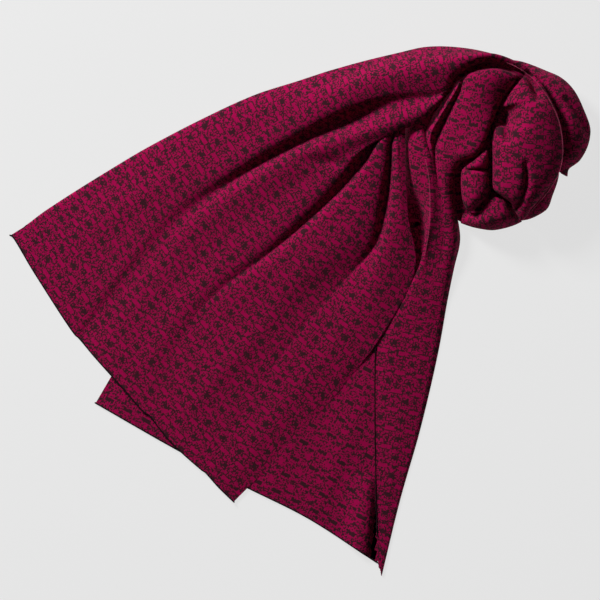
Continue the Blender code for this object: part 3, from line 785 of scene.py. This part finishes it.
def hang(piece: bpy.types.Object, slot: str, *nodes: str) -> bpy.types.Object:
    """Fixes a finished piece to the scarf's body, in place of the frame's solids."""
    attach(piece, "root")
    if nodes:
        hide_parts(*nodes)
    log.info("%s: %d faces", piece.name, len(piece.data.polygons))
    return piece


# ----------------------------------------
# Shader maths


def add_node(
    tree: bpy.types.NodeTree, kind: str, settings: dict | None = None, sockets: dict | None = None
) -> bpy.types.Node:
    """Makes a node.

    Args:
        tree: the node tree that it goes into.
        kind: the node's type.
        settings: its properties, set first.
        sockets: the value, the Value or the output socket for each of its inputs, by name or number.

    Returns:
        The node.
    """
    made = tree.nodes.new(kind)
    for name, value in (settings or {}).items():
        setattr(made, name, value)
    for key, value in (sockets or {}).items():
        value = getattr(value, "socket", value)
        if isinstance(value, bpy.types.NodeSocket):
            tree.links.new(value, made.inputs[key])
        else:
            made.inputs[key].default_value = value
    return made


class Draft:
    """The drafting sheet for one material: makes its nodes and links."""

    def __init__(self, name: str) -> None:
        """Starts an empty material."""
        self.material = bpy.data.materials.new(name)
        self.material.use_nodes = True
        self.tree = self.material.node_tree
        self.tree.nodes.clear()

    def node(self, kind: str, settings: dict | None = None, sockets: dict | None = None) -> bpy.types.Node:
        """Makes a node of the material, from its properties and its inputs."""
        return add_node(self.tree, kind, settings, sockets)

    def colour(self, mask: "Value", low: object, high: object) -> bpy.types.NodeSocket:
        """A mix of two colours, low where the mask is 0 and high where it is 1."""
        made = self.node("ShaderNodeMix", {"data_type": "RGBA"}, {0: mask, 6: low, 7: high})
        return made.outputs[2]

    def noise(self, place: bpy.types.NodeSocket, scale: float, detail: float = 2.0) -> "Value":
        """Soft noise from 0 to 1, with this many features a metre."""
        sockets = {"Vector": place, "Scale": scale, "Detail": detail}
        return Value(self, self.node("ShaderNodeTexNoise", {}, sockets).outputs[0])

    def bump(self, height: "Value", distance: float) -> bpy.types.NodeSocket:
        """The normal of a relief this many metres high."""
        sockets = {"Strength": 0.5, "Distance": distance, "Height": height}
        return self.node("ShaderNodeBump", {}, sockets).outputs[0]

    def finish(
        self, colour: object, roughness: float, specular: float, **others: object
    ) -> bpy.types.Material:
        """Ends the material with its surface.

        Args:
            colour: its Base Color.
            roughness: its Roughness.
            specular: its Specular IOR Level.
            others: its other inputs, with _ for each space in their names.

        Returns:
            The material.
        """
        sockets = {"Base Color": colour, "Roughness": roughness, "Specular IOR Level": specular}
        sockets |= {name.replace("_", " "): value for name, value in others.items()}
        shader = self.node("ShaderNodeBsdfPrincipled", {}, sockets)
        self.node("ShaderNodeOutputMaterial", {}, {"Surface": shader.outputs[0]})
        return self.material


@dataclass(frozen=True)
class Value:
    """A number that varies over the surface, with the usual operators."""

    draft: Draft
    socket: bpy.types.NodeSocket

    def math(self, operation: str, *others: object, first: float | None = None) -> "Value":
        """The Math node for the value and the others, with a number in first place where one is given."""
        terms = (self, *others) if first is None else (first, self)
        made = self.draft.node("ShaderNodeMath", {"operation": operation}, dict(enumerate(terms)))
        return Value(self.draft, made.outputs[0])

    def __add__(self, other: object) -> "Value":
        """Sum."""
        return self.math("ADD", other)

    __radd__ = __add__

    def __sub__(self, other: object) -> "Value":
        """Difference."""
        return self.math("SUBTRACT", other)

    def __rsub__(self, other: float) -> "Value":
        """Difference from a number."""
        return self.math("SUBTRACT", first=other)

    def __mul__(self, other: object) -> "Value":
        """Product."""
        return self.math("MULTIPLY", other)

    __rmul__ = __mul__

    def __truediv__(self, other: object) -> "Value":
        """Quotient."""
        return self.math("DIVIDE", other)

    def __pow__(self, other: float) -> "Value":
        """Power."""
        return self.math("POWER", other)

    def __abs__(self) -> "Value":
        """Size without its sign."""
        return self.math("ABSOLUTE")

    def floor(self) -> "Value":
        """Whole part."""
        return self.math("FLOOR")

    def part(self) -> "Value":
        """Fractional part."""
        return self.math("FRACT")

    def least(self, other: object) -> "Value":
        """The smaller of two."""
        return self.math("MINIMUM", other)

    def most(self, other: object) -> "Value":
        """The larger of two."""
        return self.math("MAXIMUM", other)

    def beyond(self, low: float, high: float) -> "Value":
        """Rises from 0 at low to 1 at high, or falls where high is the lower."""
        settings = {"interpolation_type": "SMOOTHSTEP"}
        flip = high < low
        sockets = {0: self, 1: min(low, high), 2: max(low, high), 3: float(flip), 4: float(not flip)}
        return Value(self.draft, self.draft.node("ShaderNodeMapRange", settings, sockets).outputs[0])


# ----------------------------------------
# Finishes


@dataclass(frozen=True)
class Motif:
    """A soft-edged oval of the chart, in mm from a flower's middle, and the share of pink stitches in it."""

    across: float
    along: float
    half_width: float
    half_height: float
    share: float
    turn: float = 0.0  # degrees


@dataclass(frozen=True)
class JacquardKnit:
    """Double jacquard in two yarns: a small repeat of eight-petalled flowers and short bars.

    Sizes are in mm on the flat plan. One flower stands at each corner of a repeat and one bar in its
    middle. The chart holds one quarter of a repeat, which is mirrored both ways. Bars are all pink and
    flowers' middles all dark, and the rest is a mix of single stitches with more of one yarn or the other.
    """

    stitch: float = 1.176  # width of a stitch
    course: float = 1.048  # height of one
    wales: int = 18  # stitches in a repeat
    courses: int = 18
    figure: tuple = (0.36, 0.0008, 0.066, 1.0)
    ground: tuple = (0.016, 0.0105, 0.0125, 1.0)
    share: float = 0.48  # of pink stitches where there is no motif
    motifs: tuple = (
        Motif(10.58, 6.7, 7.0, 0.9, 0.38),
        Motif(0.0, 9.43, 1.8, 1.4, 0.2),
        Motif(3.2, 3.2, 0.7, 2.3, 0.35, -28),
        Motif(6.4, 2.5, 0.6, 2.0, 0.35, -68),
        Motif(1.6, 5.8, 1.8, 1.9, 0.66),
        Motif(5.2, 4.2, 1.5, 2.3, 0.66, -42),
        Motif(7.5, 1.3, 2.1, 1.0, 0.64, 12),
        Motif(0.0, 0.0, 2.4, 2.0, 0.0),
        Motif(10.58, 9.43, 5.0, 1.6, 1.0),
        Motif(7.2, 9.43, 1.5, 2.1, 0.9),
    )
    softness: float = 0.3  # of the edges of the motifs, as a share of their size
    cell: float = 3.1  # size of the chart's smallest shapes, in mm
    strewn: float = 0.8  # how irregular they are
    narrowing: float = 2.4  # how narrow the dark lines between them are
    order: float = 0.5  # how far those shapes, and not chance, place the two yarns where they mix
    contrast: float = 0.12  # half the blur between the two yarns' stitches
    fuzz: float = 0.13  # how far fuzz blurs the two colours
    fuzz_relief: float = 0.4  # and how much it adds to the relief
    fuzz_scale: float = 1100.0  # features a metre
    sink: float = 1.2  # how deep the knit sinks between two courses
    depth: float = 0.0004  # of the relief, in metres
    fibre: tuple = (0.42, 0.07, 0.15, 1.0)
    fibres: float = 0.10  # how much of the pale fibres shows
    fibre_scale: float = 2400.0  # features a metre
    strands: tuple = (0.5, 0.75)  # the noise at which a fibre starts to show, and shows fully
    spread: float = 1.3  # how far the chart's shares are pulled apart, about a half
    turning: float = 0.1  # half the width of the line where the other side comes up, in mm
    roughness: float = 0.95
    sheen: float = 0.02

    def make(self, side: Side, turned_at: float | None = None) -> bpy.types.Material:
        """The finish of one side of the knit.

        Args:
            side: the side that shows.
            turned_at: the distance from the open end, in metres, past which the other side shows.

        Returns:
            The material.
        """
        draft = Draft(f"jacquard_{side.value}" + ("_turned" if turned_at else ""))
        plan = draft.node("ShaderNodeUVMap", {"uv_map": KNIT_MAP}).outputs[0]
        axes = draft.node("ShaderNodeSeparateXYZ", {}, {0: plan}).outputs
        u, v = (Value(draft, axes[k]) * (1 / MM) for k in (0, 1))
        wale = u / self.stitch
        lean = abs(wale.part() - 0.5)
        course = v / self.course + lean
        x = (wale.floor() + 0.5) * self.stitch
        y = (course.floor() + 0.5) * self.course
        place = draft.node("ShaderNodeCombineXYZ", {}, {0: x, 1: y}).outputs[0]
        chance = self.stitch_tone(draft, place) * (1 - self.order) + self.lace(draft, place) * self.order
        figure = (self.chart(*self.folded(x, y)) - chance).beyond(-self.contrast, self.contrast)
        if side is Side.REVERSE:
            figure = 1 - figure
        if turned_at:
            turned = v.beyond(turned_at / MM - self.turning, turned_at / MM + self.turning)
            figure = figure + turned * (1 - 2 * figure)
        return self.surface(draft, plan, figure, self.relief(course, lean))

    def folded(self, x: Value, y: Value) -> tuple:
        """Where a place of the flat plan lies in the quarter of a repeat that is charted."""
        width, height = self.wales * self.stitch, self.courses * self.course
        across = abs((x / width + 0.5).part() - 0.5) * width
        return across, abs((y / height + 0.5).part() - 0.5) * height

    def lace(self, draft: Draft, place: bpy.types.NodeSocket) -> Value:
        """1 on the dark lines between the chart's smallest shapes, and 0 in their middles."""
        settings = {"feature": "DISTANCE_TO_EDGE", "voronoi_dimensions": "2D"}
        sockets = {"Vector": place, "Scale": 1 / self.cell, "Randomness": self.strewn}
        edge = draft.node("ShaderNodeTexVoronoi", settings, sockets).outputs["Distance"]
        return (1 - Value(draft, edge) * self.narrowing).most(0.0)

    def chart(self, across: Value, lengthwise: Value) -> Value:
        """The share of pink stitches on the face at a place of the charted quarter."""
        share = self.share
        for motif in self.motifs:
            mask = self.oval(across, lengthwise, motif)
            share = share + mask * (motif.share - share)
        return (share - 0.5) * self.spread + 0.5

    def oval(self, across: Value, lengthwise: Value, motif: Motif) -> Value:
        """1 in a motif and 0 outside it."""
        x, y = across - motif.across, lengthwise - motif.along
        cosine, sine = math.cos(math.radians(motif.turn)), math.sin(math.radians(motif.turn))
        a = (x * cosine + y * sine) / motif.half_width
        b = (y * cosine - x * sine) / motif.half_height
        return (a * a + b * b).beyond(1 + self.softness, 1 - self.softness)

    def stitch_tone(self, draft: Draft, place: bpy.types.NodeSocket) -> Value:
        """The unevenness of the yarn, one value to a stitch."""
        noise = draft.node("ShaderNodeTexWhiteNoise", {"noise_dimensions": "2D"}, {"Vector": place})
        return Value(draft, noise.outputs[0])

    def relief(self, course: Value, lean: Value) -> Value:
        """The height of the knit: two plump legs to each stitch, leaning together."""
        leg = 1 - abs(lean - 0.25) * 4
        row = 1 - abs(course.part() - 0.5) * self.sink
        return leg.most(0.0) ** 0.5 * row

    def surface(self, draft: Draft, plan: object, figure: Value, relief: Value) -> bpy.types.Material:
        """Puts the yarns' colours, fuzz and relief on a shader."""
        fuzz = draft.noise(plan, self.fuzz_scale)
        mixed = (figure * (1 - self.fuzz) + fuzz * self.fuzz).most(0.0).least(1.0)
        pale = draft.noise(plan, self.fibre_scale).beyond(*self.strands) * self.fibres
        colour = draft.colour(pale, draft.colour(mixed, self.ground, self.figure), self.fibre)
        normal = draft.bump(relief + fuzz * self.fuzz_relief, self.depth)
        return draft.finish(colour, self.roughness, YARN_SPECULAR, Sheen_Weight=self.sheen, Normal=normal)


@dataclass(frozen=True)
class CastOffYarn:
    """The near-black yarn of the cast-off ends, which also paints the shadow along the strip's selvedge."""

    colour: tuple = (0.008, 0.004, 0.006, 1.0)
    worn: tuple = (0.030, 0.006, 0.014, 1.0)
    roughness: float = 0.9
    sheen: float = 0.03
    scale: float = 1800.0  # features a metre
    detail: float = 3.0
    strands: tuple = (0.45, 0.75)  # the noise at which a worn fibre starts to show, and shows fully
    depth: float = 0.0003  # of the relief, in metres

    def make(self) -> bpy.types.Material:
        """The material, with fine fibres along it."""
        draft = Draft("cast_off_yarn")
        place = draft.node("ShaderNodeTexCoord").outputs["Object"]
        fibre = draft.noise(place, self.scale, self.detail)
        colour = draft.colour(fibre.beyond(*self.strands), self.colour, self.worn)
        normal = draft.bump(fibre, self.depth)
        return draft.finish(colour, self.roughness, YARN_SPECULAR, Sheen_Weight=self.sheen, Normal=normal)


@dataclass(frozen=True)
class RimFuzzAndHighlight:
    """The pale fuzz along a folded edge: partly the yarn's own fuzz, and partly a painted highlight, paler
    than the yarn where the fold's rim catches the light.
    """

    # Pale pink, paler than the yarn: a painted highlight along the rim of the fold.
    colour: tuple = (0.42, 0.06, 0.13, 1.0)
    roughness: float = 0.9
    specular: float = 0.2

    def make(self) -> bpy.types.Material:
        """The material."""
        draft = Draft("rim_fuzz_and_painted_highlight")
        return draft.finish(self.colour, self.roughness, self.specular)


@dataclass(frozen=True)
class StudioFloor:
    """The plain pale ground, a light table that softens the shadows on it."""

    colour: tuple = (0.11, 0.11, 0.11, 1.0)
    light: tuple = (1.0, 1.0, 1.0, 1.0)
    glow: float = 0.712

    def make(self) -> bpy.types.Material:
        """The material."""
        draft = Draft("studio_floor")
        return draft.finish(self.colour, 1.0, 0.0, Emission_Color=self.light, Emission_Strength=self.glow)


@dataclass(frozen=True)
class Finishes:
    """Every finish of the scarf, made once."""

    face: bpy.types.Material
    reverse: bpy.types.Material
    turned: bpy.types.Material
    edging: bpy.types.Material
    # pale fuzz, partly a painted highlight along folded edges
    fibres: bpy.types.Material

    @classmethod
    def make(cls) -> "Finishes":
        """Makes them all."""
        knit = JacquardKnit()
        turned = knit.make(Side.FACE, turned_at=TurnedStrip.turns_at * MM)
        edging, fibres = CastOffYarn().make(), RimFuzzAndHighlight().make()
        return cls(knit.make(Side.FACE), knit.make(Side.REVERSE), turned, edging, fibres)

    def of(self, side: Side) -> bpy.types.Material:
        """The finish of one side of the knit."""
        return self.face if side is Side.FACE else self.reverse


# ----------------------------------------
# The stretches of cloth


@dataclass
class Stretch:
    """A stretch of cloth that is laid through lines from its open end to the knot."""

    name: str
    lines: tuple
    stations: tuple
    across: tuple
    lengthwise: tuple
    cut: tuple  # width and length of the stretch on the flat plan, in mm
    side: Side
    fineness: int  # cells of the mesh to one of the frame's
    rests_on: tuple = ()
    creases: tuple = ()
    slits: tuple = ()  # (line, station) from which a valley swallows cloth

    def table(self) -> np.ndarray:
        """The points of the lines at the stations."""
        return np.array([along(line, self.stations) for line in self.lines])

    def steps(self) -> tuple:
        """How many cells of the mesh lie between two lines, and between two stations."""
        return times(self.across, self.fineness), times(self.lengthwise, self.fineness)

    def grid(self) -> np.ndarray:
        """The cloth's underside, with its creases."""
        return creased(grid_through(self.table(), *self.steps()), self.creases)

    def plans(self, grid: np.ndarray, cells: np.ndarray) -> tuple:
        """The flat plan of each strip on the mesh's grid, and the strips' first and last columns."""
        columns = np.concatenate([[0], np.cumsum(self.across)])
        rows = np.concatenate([[0], np.cumsum(self.lengthwise)])
        slits = tuple((int(columns[line]), int(rows[station])) for line, station in self.slits)
        frame_grid = grid_through(self.table(), self.across, self.lengthwise)
        coarse = FlatPlan(frame_grid, reached_cells(self.lines, self.across, self.lengthwise), slits)
        fine = coarse.finer(grid, cells, self.fineness)
        return planned(coarse, fine, self.fineness), fine.strips()

    def build(self, finishes: Finishes) -> bpy.types.Object:
        """Makes the stretch and dresses it."""
        grid, cells = self.grid(), reached_cells(self.lines, *self.steps())
        cloth = ClothMesh.from_grid(f"{self.name}_knit", grid, cells, *self.plans(grid, cells))
        piece = cloth.build(*self.finish(finishes))
        hang(piece, f"jacquard_{self.side.value}", self.name)
        declare(piece, self.cut)
        return piece

    def finish(self, finishes: Finishes) -> tuple:
        """The finishes of its upper side and of the side underneath."""
        return finishes.of(self.side), finishes.of(self.side.other())


@dataclass
class UpperTail(Stretch):
    """The tail on top, face up, with the band that it runs into over the knot."""

    name: str = "upper_tail"
    lines: tuple = UPPER_TAIL
    stations: tuple = UPPER_STATIONS
    across: tuple = UPPER_ACROSS
    lengthwise: tuple = UPPER_ALONG
    cut: tuple = (345.0, 550.0)
    side: Side = Side.FACE
    fineness: int = 6
    rests_on: tuple = ("under_tail", "knot_core")
    slits: tuple = ((4, 7), (8, 3), (12, 3))
    creases: tuple = UPPER_CREASES


@dataclass
class UnderTail(Stretch):
    """The tail below it, reverse up."""

    name: str = "under_tail"
    lines: tuple = UNDER_TAIL
    stations: tuple = UNDER_STATIONS
    across: tuple = UNDER_ACROSS
    lengthwise: tuple = UNDER_ALONG
    cut: tuple = (328.0, 290.0)
    side: Side = Side.REVERSE
    fineness: int = 9
    creases: tuple = UNDER_CREASES


@dataclass
class TurnedStrip(Stretch):
    """The under tail's right side, folded over, and the panel that it becomes over the knot."""

    turns_at = 372.0  # distance from the open end at which its other side comes up

    name: str = "turned_strip"
    lines: tuple = TURNED_STRIP
    stations: tuple = STRIP_STATIONS
    across: tuple = STRIP_ACROSS
    lengthwise: tuple = STRIP_ALONG
    cut: tuple = (110.0, 545.0)
    side: Side = Side.FACE
    fineness: int = 4
    rests_on: tuple = ("under_tail", "knot_core")

    def finish(self, finishes: Finishes) -> tuple:
        """The face as far as it is turned over, then the reverse."""
        return finishes.turned, finishes.reverse


@dataclass
class KnotFold:
    """A fold of the knot, from the cuts across it."""

    name: str
    cuts: tuple  # of Section or Roll
    tuck: float  # how far its edges are turned under, in mm
    cut: tuple  # width and length on the flat plan, in mm
    across: int = 2
    lengthwise: int = 2
    fineness: int = 5
    creases: tuple = ()

    def table(self) -> np.ndarray:
        """The points of its lines."""
        make = loop_table if isinstance(self.cuts[0], Section) else roll_table
        return make(self.cuts, self.tuck)

    def grids(self) -> tuple:
        """The cloth's underside at the frame's fineness, and at the mesh's with its creases."""
        table = self.table()
        coarse = (self.across,) * (len(table) - 1), (self.lengthwise,) * (table.shape[1] - 1)
        fine = (times(steps, self.fineness) for steps in coarse)
        return grid_through(table, *coarse), creased(grid_through(table, *fine), self.creases)

    def build(self, finishes: Finishes) -> bpy.types.Object:
        """Makes the fold and dresses it."""
        coarse, grid = self.grids()
        cells, few = (np.ones((made.shape[0] - 1, made.shape[1] - 1), bool) for made in (grid, coarse))
        flat = FlatPlan(coarse, few, pin_end=False)
        plans = planned(flat, flat.finer(grid, cells, self.fineness), self.fineness)
        strips = [(0, len(grid) - 1)]
        cloth = ClothMesh.from_grid(f"{self.name}_knit", grid, cells, plans, strips)
        piece = cloth.build(finishes.face, finishes.reverse)
        hang(piece, "jacquard_face", self.name)
        declare(piece, self.cut)
        return piece


KNOT_FOLDS = (
    KnotFold("knot_front_loop", FRONT_LOOP, 4, (110.0, 165.0), creases=LOOP_CREASES),
    KnotFold("knot_tongue", TONGUE, 3, (50.0, 70.0), across=1, fineness=8),
    KnotFold("knot_outer_roll", OUTER_ROLL, 6, (65.0, 150.0), creases=ROLL_CREASES),
    KnotFold("knot_side_roll", SIDE_ROLL, 4, (50.0, 75.0)),
    KnotFold("knot_lower_roll", LOWER_ROLL, 4, (60.0, 75.0)),
)


@dataclass
class KnotCore:
    """The hidden layers of the knot, stepped where their edges lie on each other."""

    centre: tuple = (186.0, 167.0)
    reach: tuple = (66.0, 85.5)
    base: float = 11.0  # height at its edges
    rise: float = 24.0  # how much higher the heap is
    top: tuple = (224.0, 165.0)  # the heap under the front loop
    spread: tuple = (22.0, 36.0)
    layers: int = 4  # whose edges show
    step: float = 0.04  # how far each steps back, as a share of the reach
    rings: int = 72
    spokes: int = 120

    def build(self, finishes: Finishes) -> bpy.types.Object:
        """Makes the core and dresses it with the reverse of the knit."""
        height = np.sin(np.linspace(0, np.pi / 2, self.rings))
        angle = np.linspace(0, 2 * np.pi, self.spokes + 1)
        z, a = np.meshgrid(height, angle)
        out = np.sqrt(1 - z**3)
        out = out * (1 - self.step * (0.5 + 0.5 * np.cos(2 * np.pi * self.layers * z)) * (1 - z))
        x = out * np.cos(a) * self.reach[0] + self.centre[0]
        y = out * np.sin(a) * self.reach[1] + self.centre[1]
        away = [(place - top) / spread for place, top, spread in zip((x, y), self.top, self.spread)]
        heap = np.exp(-(away[0] ** 2) - away[1] ** 2)
        grid = np.stack([x, y, z * (self.base + self.rise * heap)], axis=-1)
        fall = np.linalg.norm(np.diff(grid[::-1, ::-1], axis=1), axis=-1)[::-1]
        depth = np.concatenate([np.zeros((len(angle), 1)), np.cumsum(fall, axis=1)], axis=1)[:, ::-1]
        plan = np.stack([depth * np.cos(a), depth * np.sin(a)], axis=-1)
        points, rows = grid.reshape(-1, 3), grid.shape[1]
        i, j = (k.ravel() for k in np.indices((self.spokes, rows - 1)))
        quads = np.stack([(i + di) * rows + j + dj for di, dj in CORNERS], axis=1)
        flat = np.stack([plan[i + di, j + dj] for di, dj in CORNERS], axis=1)
        bottom = [[k * rows for k in range(self.spokes)][::-1]]
        flat = np.concatenate([flat.reshape(-1, 2), plan[:-1, 0][::-1]])
        faces = quads.tolist() + bottom
        piece = cloth_piece("knot_core_layers", points, faces, flat, (finishes.reverse,))
        weld = piece.modifiers.new("Weld", "WELD")
        weld.merge_threshold = WELD
        flatten_modifiers(piece)
        piece.data.shade_smooth()
        return hang(piece, "jacquard_reverse", "knot_core")


# ----------------------------------------
# Stitches and fibres along edges


@dataclass
class EdgeRow:
    """A row of small rounded bodies along an edge, made by Geometry Nodes: stitches, dark stitches that paint
    a shadow, or pale fibres that are partly fuzz and partly a painted highlight.
    """

    name: str
    path: np.ndarray  # points of the row, in mm
    size: tuple  # half the length, width and height of one, in mm
    pitch: float  # distance between two, in mm
    lean: float  # turn of each against the row, one way and the other, in degrees
    scatter: float = 0.0  # random turn of each about every axis, in degrees
    sides: int = 8  # of each body
    rings: int = 6
    seed: int = 4

    def guide(self) -> bpy.types.Object:
        """The line that the row follows."""
        curve = bpy.data.curves.new(self.name, "CURVE")
        curve.dimensions = "3D"
        run = curve.splines.new("POLY")
        run.points.add(len(self.path) - 1)
        for point, spot in zip(run.points, self.path):
            point.co = (*(spot * MM), 1)
        return place(self.name, curve)

    def tree(self) -> bpy.types.GeometryNodeTree:
        """The node tree: one leaning body to each step along the line."""
        tree = bpy.data.node_groups.new("edge_row", "GeometryNodeTree")
        tree.interface.new_socket("Geometry", in_out="INPUT", socket_type="NodeSocketGeometry")
        kinds = {"Pitch": "Float", "Lean": "Float", "Scatter": "Float", "Sides": "Int", "Rings": "Int"}
        kinds |= {"Seed": "Int", "Size": "Vector", "Finish": "Material"}
        for name, kind in kinds.items():
            tree.interface.new_socket(name, in_out="INPUT", socket_type=f"NodeSocket{kind}")
        tree.interface.new_socket("Geometry", in_out="OUTPUT", socket_type="NodeSocketGeometry")

        node = partial(add_node, tree)
        given = node("NodeGroupInput").outputs
        sockets = {"Curve": given[0], "Length": given["Pitch"]}
        points = node("GeometryNodeCurveToPoints", {"mode": "LENGTH"}, sockets)
        index = node("GeometryNodeInputIndex").outputs[0]
        odd = node("ShaderNodeMath", {"operation": "MODULO"}, {0: index, 1: 2.0}).outputs[0]
        sign = node("ShaderNodeMath", {"operation": "MULTIPLY_ADD"}, {0: odd, 1: 2.0, 2: -1.0}).outputs[0]
        lean = node("ShaderNodeMath", {"operation": "MULTIPLY"}, {0: sign, 1: given["Lean"]}).outputs[0]
        spin = node("FunctionNodeAxisAngleToRotation", {}, {"Axis": (1.0, 0.0, 0.0), "Angle": lean})
        sockets = {0: (-1.0, -1.0, -1.0), 1: (1.0, 1.0, 1.0), "Seed": given["Seed"]}
        loose = node("FunctionNodeRandomValue", {"data_type": "FLOAT_VECTOR"}, sockets)
        sockets = {0: loose.outputs[0], "Scale": given["Scatter"]}
        stray = node("ShaderNodeVectorMath", {"operation": "SCALE"}, sockets)
        turn = node("FunctionNodeEulerToRotation", {}, {0: stray.outputs[0]})
        facing = points.outputs["Rotation"]
        for change in (spin, turn):
            sockets = {0: facing, 1: change.outputs[0]}
            facing = node("FunctionNodeRotateRotation", {"rotation_space": "LOCAL"}, sockets).outputs[0]
        sockets = {"Segments": given["Sides"], "Rings": given["Rings"], "Radius": 1.0}
        body = node("GeometryNodeMeshUVSphere", {}, sockets)
        sockets = {"Points": points.outputs["Points"], "Instance": body.outputs["Mesh"]}
        sockets |= {"Rotation": facing, "Scale": given["Size"]}
        places = node("GeometryNodeInstanceOnPoints", {}, sockets)
        real = node("GeometryNodeRealizeInstances", {}, {0: places.outputs[0]})
        smooth = node("GeometryNodeSetShadeSmooth", {}, {0: real.outputs[0]})
        dressed = node("GeometryNodeSetMaterial", {}, {0: smooth.outputs[0], "Material": given["Finish"]})
        node("NodeGroupOutput", {}, {0: dressed.outputs[0]})
        return tree

    def build(self, finish: bpy.types.Material, slot: str, *nodes: str) -> bpy.types.Object:
        """Makes the row as a plain mesh and hangs it on the scarf.

        Args:
            finish: its material.
            slot: not used.
            nodes: the frame's solids that it stands for.

        Returns:
            The finished piece.
        """
        guide = self.guide()
        tree = self.tree()
        row = guide.modifiers.new("Row", "NODES")
        row.node_group = tree
        length, width, height = self.size
        values = {
            "Pitch": self.pitch * MM,
            "Lean": math.radians(self.lean),
            "Scatter": math.radians(self.scatter),
            "Sides": self.sides,
            "Rings": self.rings,
            "Seed": self.seed,
            "Size": (height * MM, width * MM, length * MM),
            "Finish": finish,
        }
        for item in tree.interface.items_tree:
            if item.in_out == "INPUT" and item.name in values:
                row[item.identifier] = values[item.name]
        piece = place(self.name, made_mesh(guide))
        bpy.data.objects.remove(guide)
        return hang(piece, slot, *nodes)


def cast_off(name: str, edge: np.ndarray, outward: tuple) -> EdgeRow:
    """The dark chain of stitches along an open end.

    Args:
        name: the piece's name.
        edge: points of the cloth's open end, in mm.
        outward: the direction away from the cloth.

    Returns:
        The row of stitches, not yet built.
    """
    size = (1.25, 1.15, 0.85)
    path = edge + np.array(outward + (0.0,)) / np.linalg.norm(outward) * size[1] * STITCH_REACH
    path[:, 2] = np.maximum(path[:, 2] + CLOTH / 2, size[0] * STITCH_LIFT + size[2])
    return EdgeRow(name, path, size, pitch=1.25, lean=24.0)


def rim(name: str, path: tuple, seed: int) -> EdgeRow:
    """Pale fibres along a folded edge: fuzz, painted paler than the yarn as a highlight on the fold's rim."""
    line, size = curve_through(path, PATH_STEPS), (0.9, 0.12, 0.12)
    return EdgeRow(name, line, size, pitch=0.3, lean=0.0, scatter=55.0, sides=4, rings=3, seed=seed)


# ----------------------------------------
# The studio


@dataclass
class Studio:
    """A pale floor, soft light and a camera straight above, all in metres."""

    middle: tuple = (0.0, 0.010)  # the point in plan under the camera
    distance: float = 7.0
    view_width: float = 0.600
    sensor: float = 36.0
    floor_size: float = 12.0
    world: tuple = (0.95, 0.96, 1.0, 1.0)
    world_strength: float = 0.036
    lights: tuple = (  # name, position, size and power in watts
        ("key_light", (-1.39, 1.71, 1.39), 0.64, 84.0),
        ("top_light", (0.7, 1.0, 4.5), 2.0, 8.0),
    )

    def build(self) -> None:
        """Sets the stage."""
        self.floor()
        self.camera()
        for light in self.lights:
            self.light(*light)
        world = bpy.data.worlds.new("studio")
        world.use_nodes = True
        background = world.node_tree.nodes["Background"]
        background.inputs["Color"].default_value = self.world
        background.inputs["Strength"].default_value = self.world_strength
        bpy.context.scene.world = world
        bpy.context.scene.view_settings.view_transform = "Standard"

    def floor(self) -> None:
        """Lays the ground."""
        half = self.floor_size / 2
        mesh = bpy.data.meshes.new("floor")
        corners = [(-half, -half, 0), (half, -half, 0), (half, half, 0), (-half, half, 0)]
        mesh.from_pydata(corners, [], [(0, 1, 2, 3)])
        mesh.materials.append(StudioFloor().make())
        place("floor", mesh)

    def camera(self) -> None:
        """Looks straight down, from far enough to see no perspective to speak of."""
        data = bpy.data.cameras.new("camera")
        data.sensor_width = self.sensor
        data.lens = self.sensor * self.distance / self.view_width
        made = place("camera", data)
        made.location = (*self.middle, self.distance)
        bpy.context.scene.camera = made

    def light(self, name: str, position: tuple, size: float, power: float) -> None:
        """Adds a square soft light that faces the scarf."""
        data = bpy.data.lights.new(name, "AREA")
        data.shape = "SQUARE"
        data.size = size
        data.energy = power
        made = place(name, data)
        made.location = position
        made.rotation_euler = (-Vector(position)).to_track_quat("-Z", "Y").to_euler()


def main() -> None:
    """Builds and dresses the scarf, piece by piece."""
    logging.basicConfig(level=logging.INFO, format="%(name)s: %(message)s")
    Studio().build()
    finishes = Finishes.make()
    upper, under = UpperTail(), UnderTail()
    for stretch in (upper, under, TurnedStrip()):
        stretch.build(finishes)
    for tail, end, outward in ((upper, "upper", (-0.76, -0.65)), (under, "under", (-0.51, -0.86))):
        stitches = cast_off(f"{end}_cast_off", tail.grid()[:, 0], outward)
        stitches.build(finishes.edging, "dark_edging", f"{end}_end_edging")
    # A row of near-black stitches along the strip's selvedge paints the shadow in the gap beside that edge.
    selvedge = curve_through(STRIP_SELVEDGE_SHADOW, SELVEDGE_STEPS)
    selvedge_shadow_row = EdgeRow("strip_selvedge_painted_shadow", selvedge, (1.0, 0.8, 0.7), pitch=1.2, lean=20.0)
    selvedge_shadow_row.build(finishes.edging, "dark_edging")
    for fold in KNOT_FOLDS:
        fold.build(finishes)
    # Pale fibres along the fold edges, partly fuzz and partly a painted highlight.
    for fibres in (rim("loop_rim_fuzz_and_highlight", LOOP_RIM, 7), rim("pleat_rim_fuzz_and_highlight", PLEAT_RIM, 9)):
        fibres.build(finishes.fibres, "jacquard_face")
    KnotCore().build(finishes)


if __name__ == "__main__":
    main()
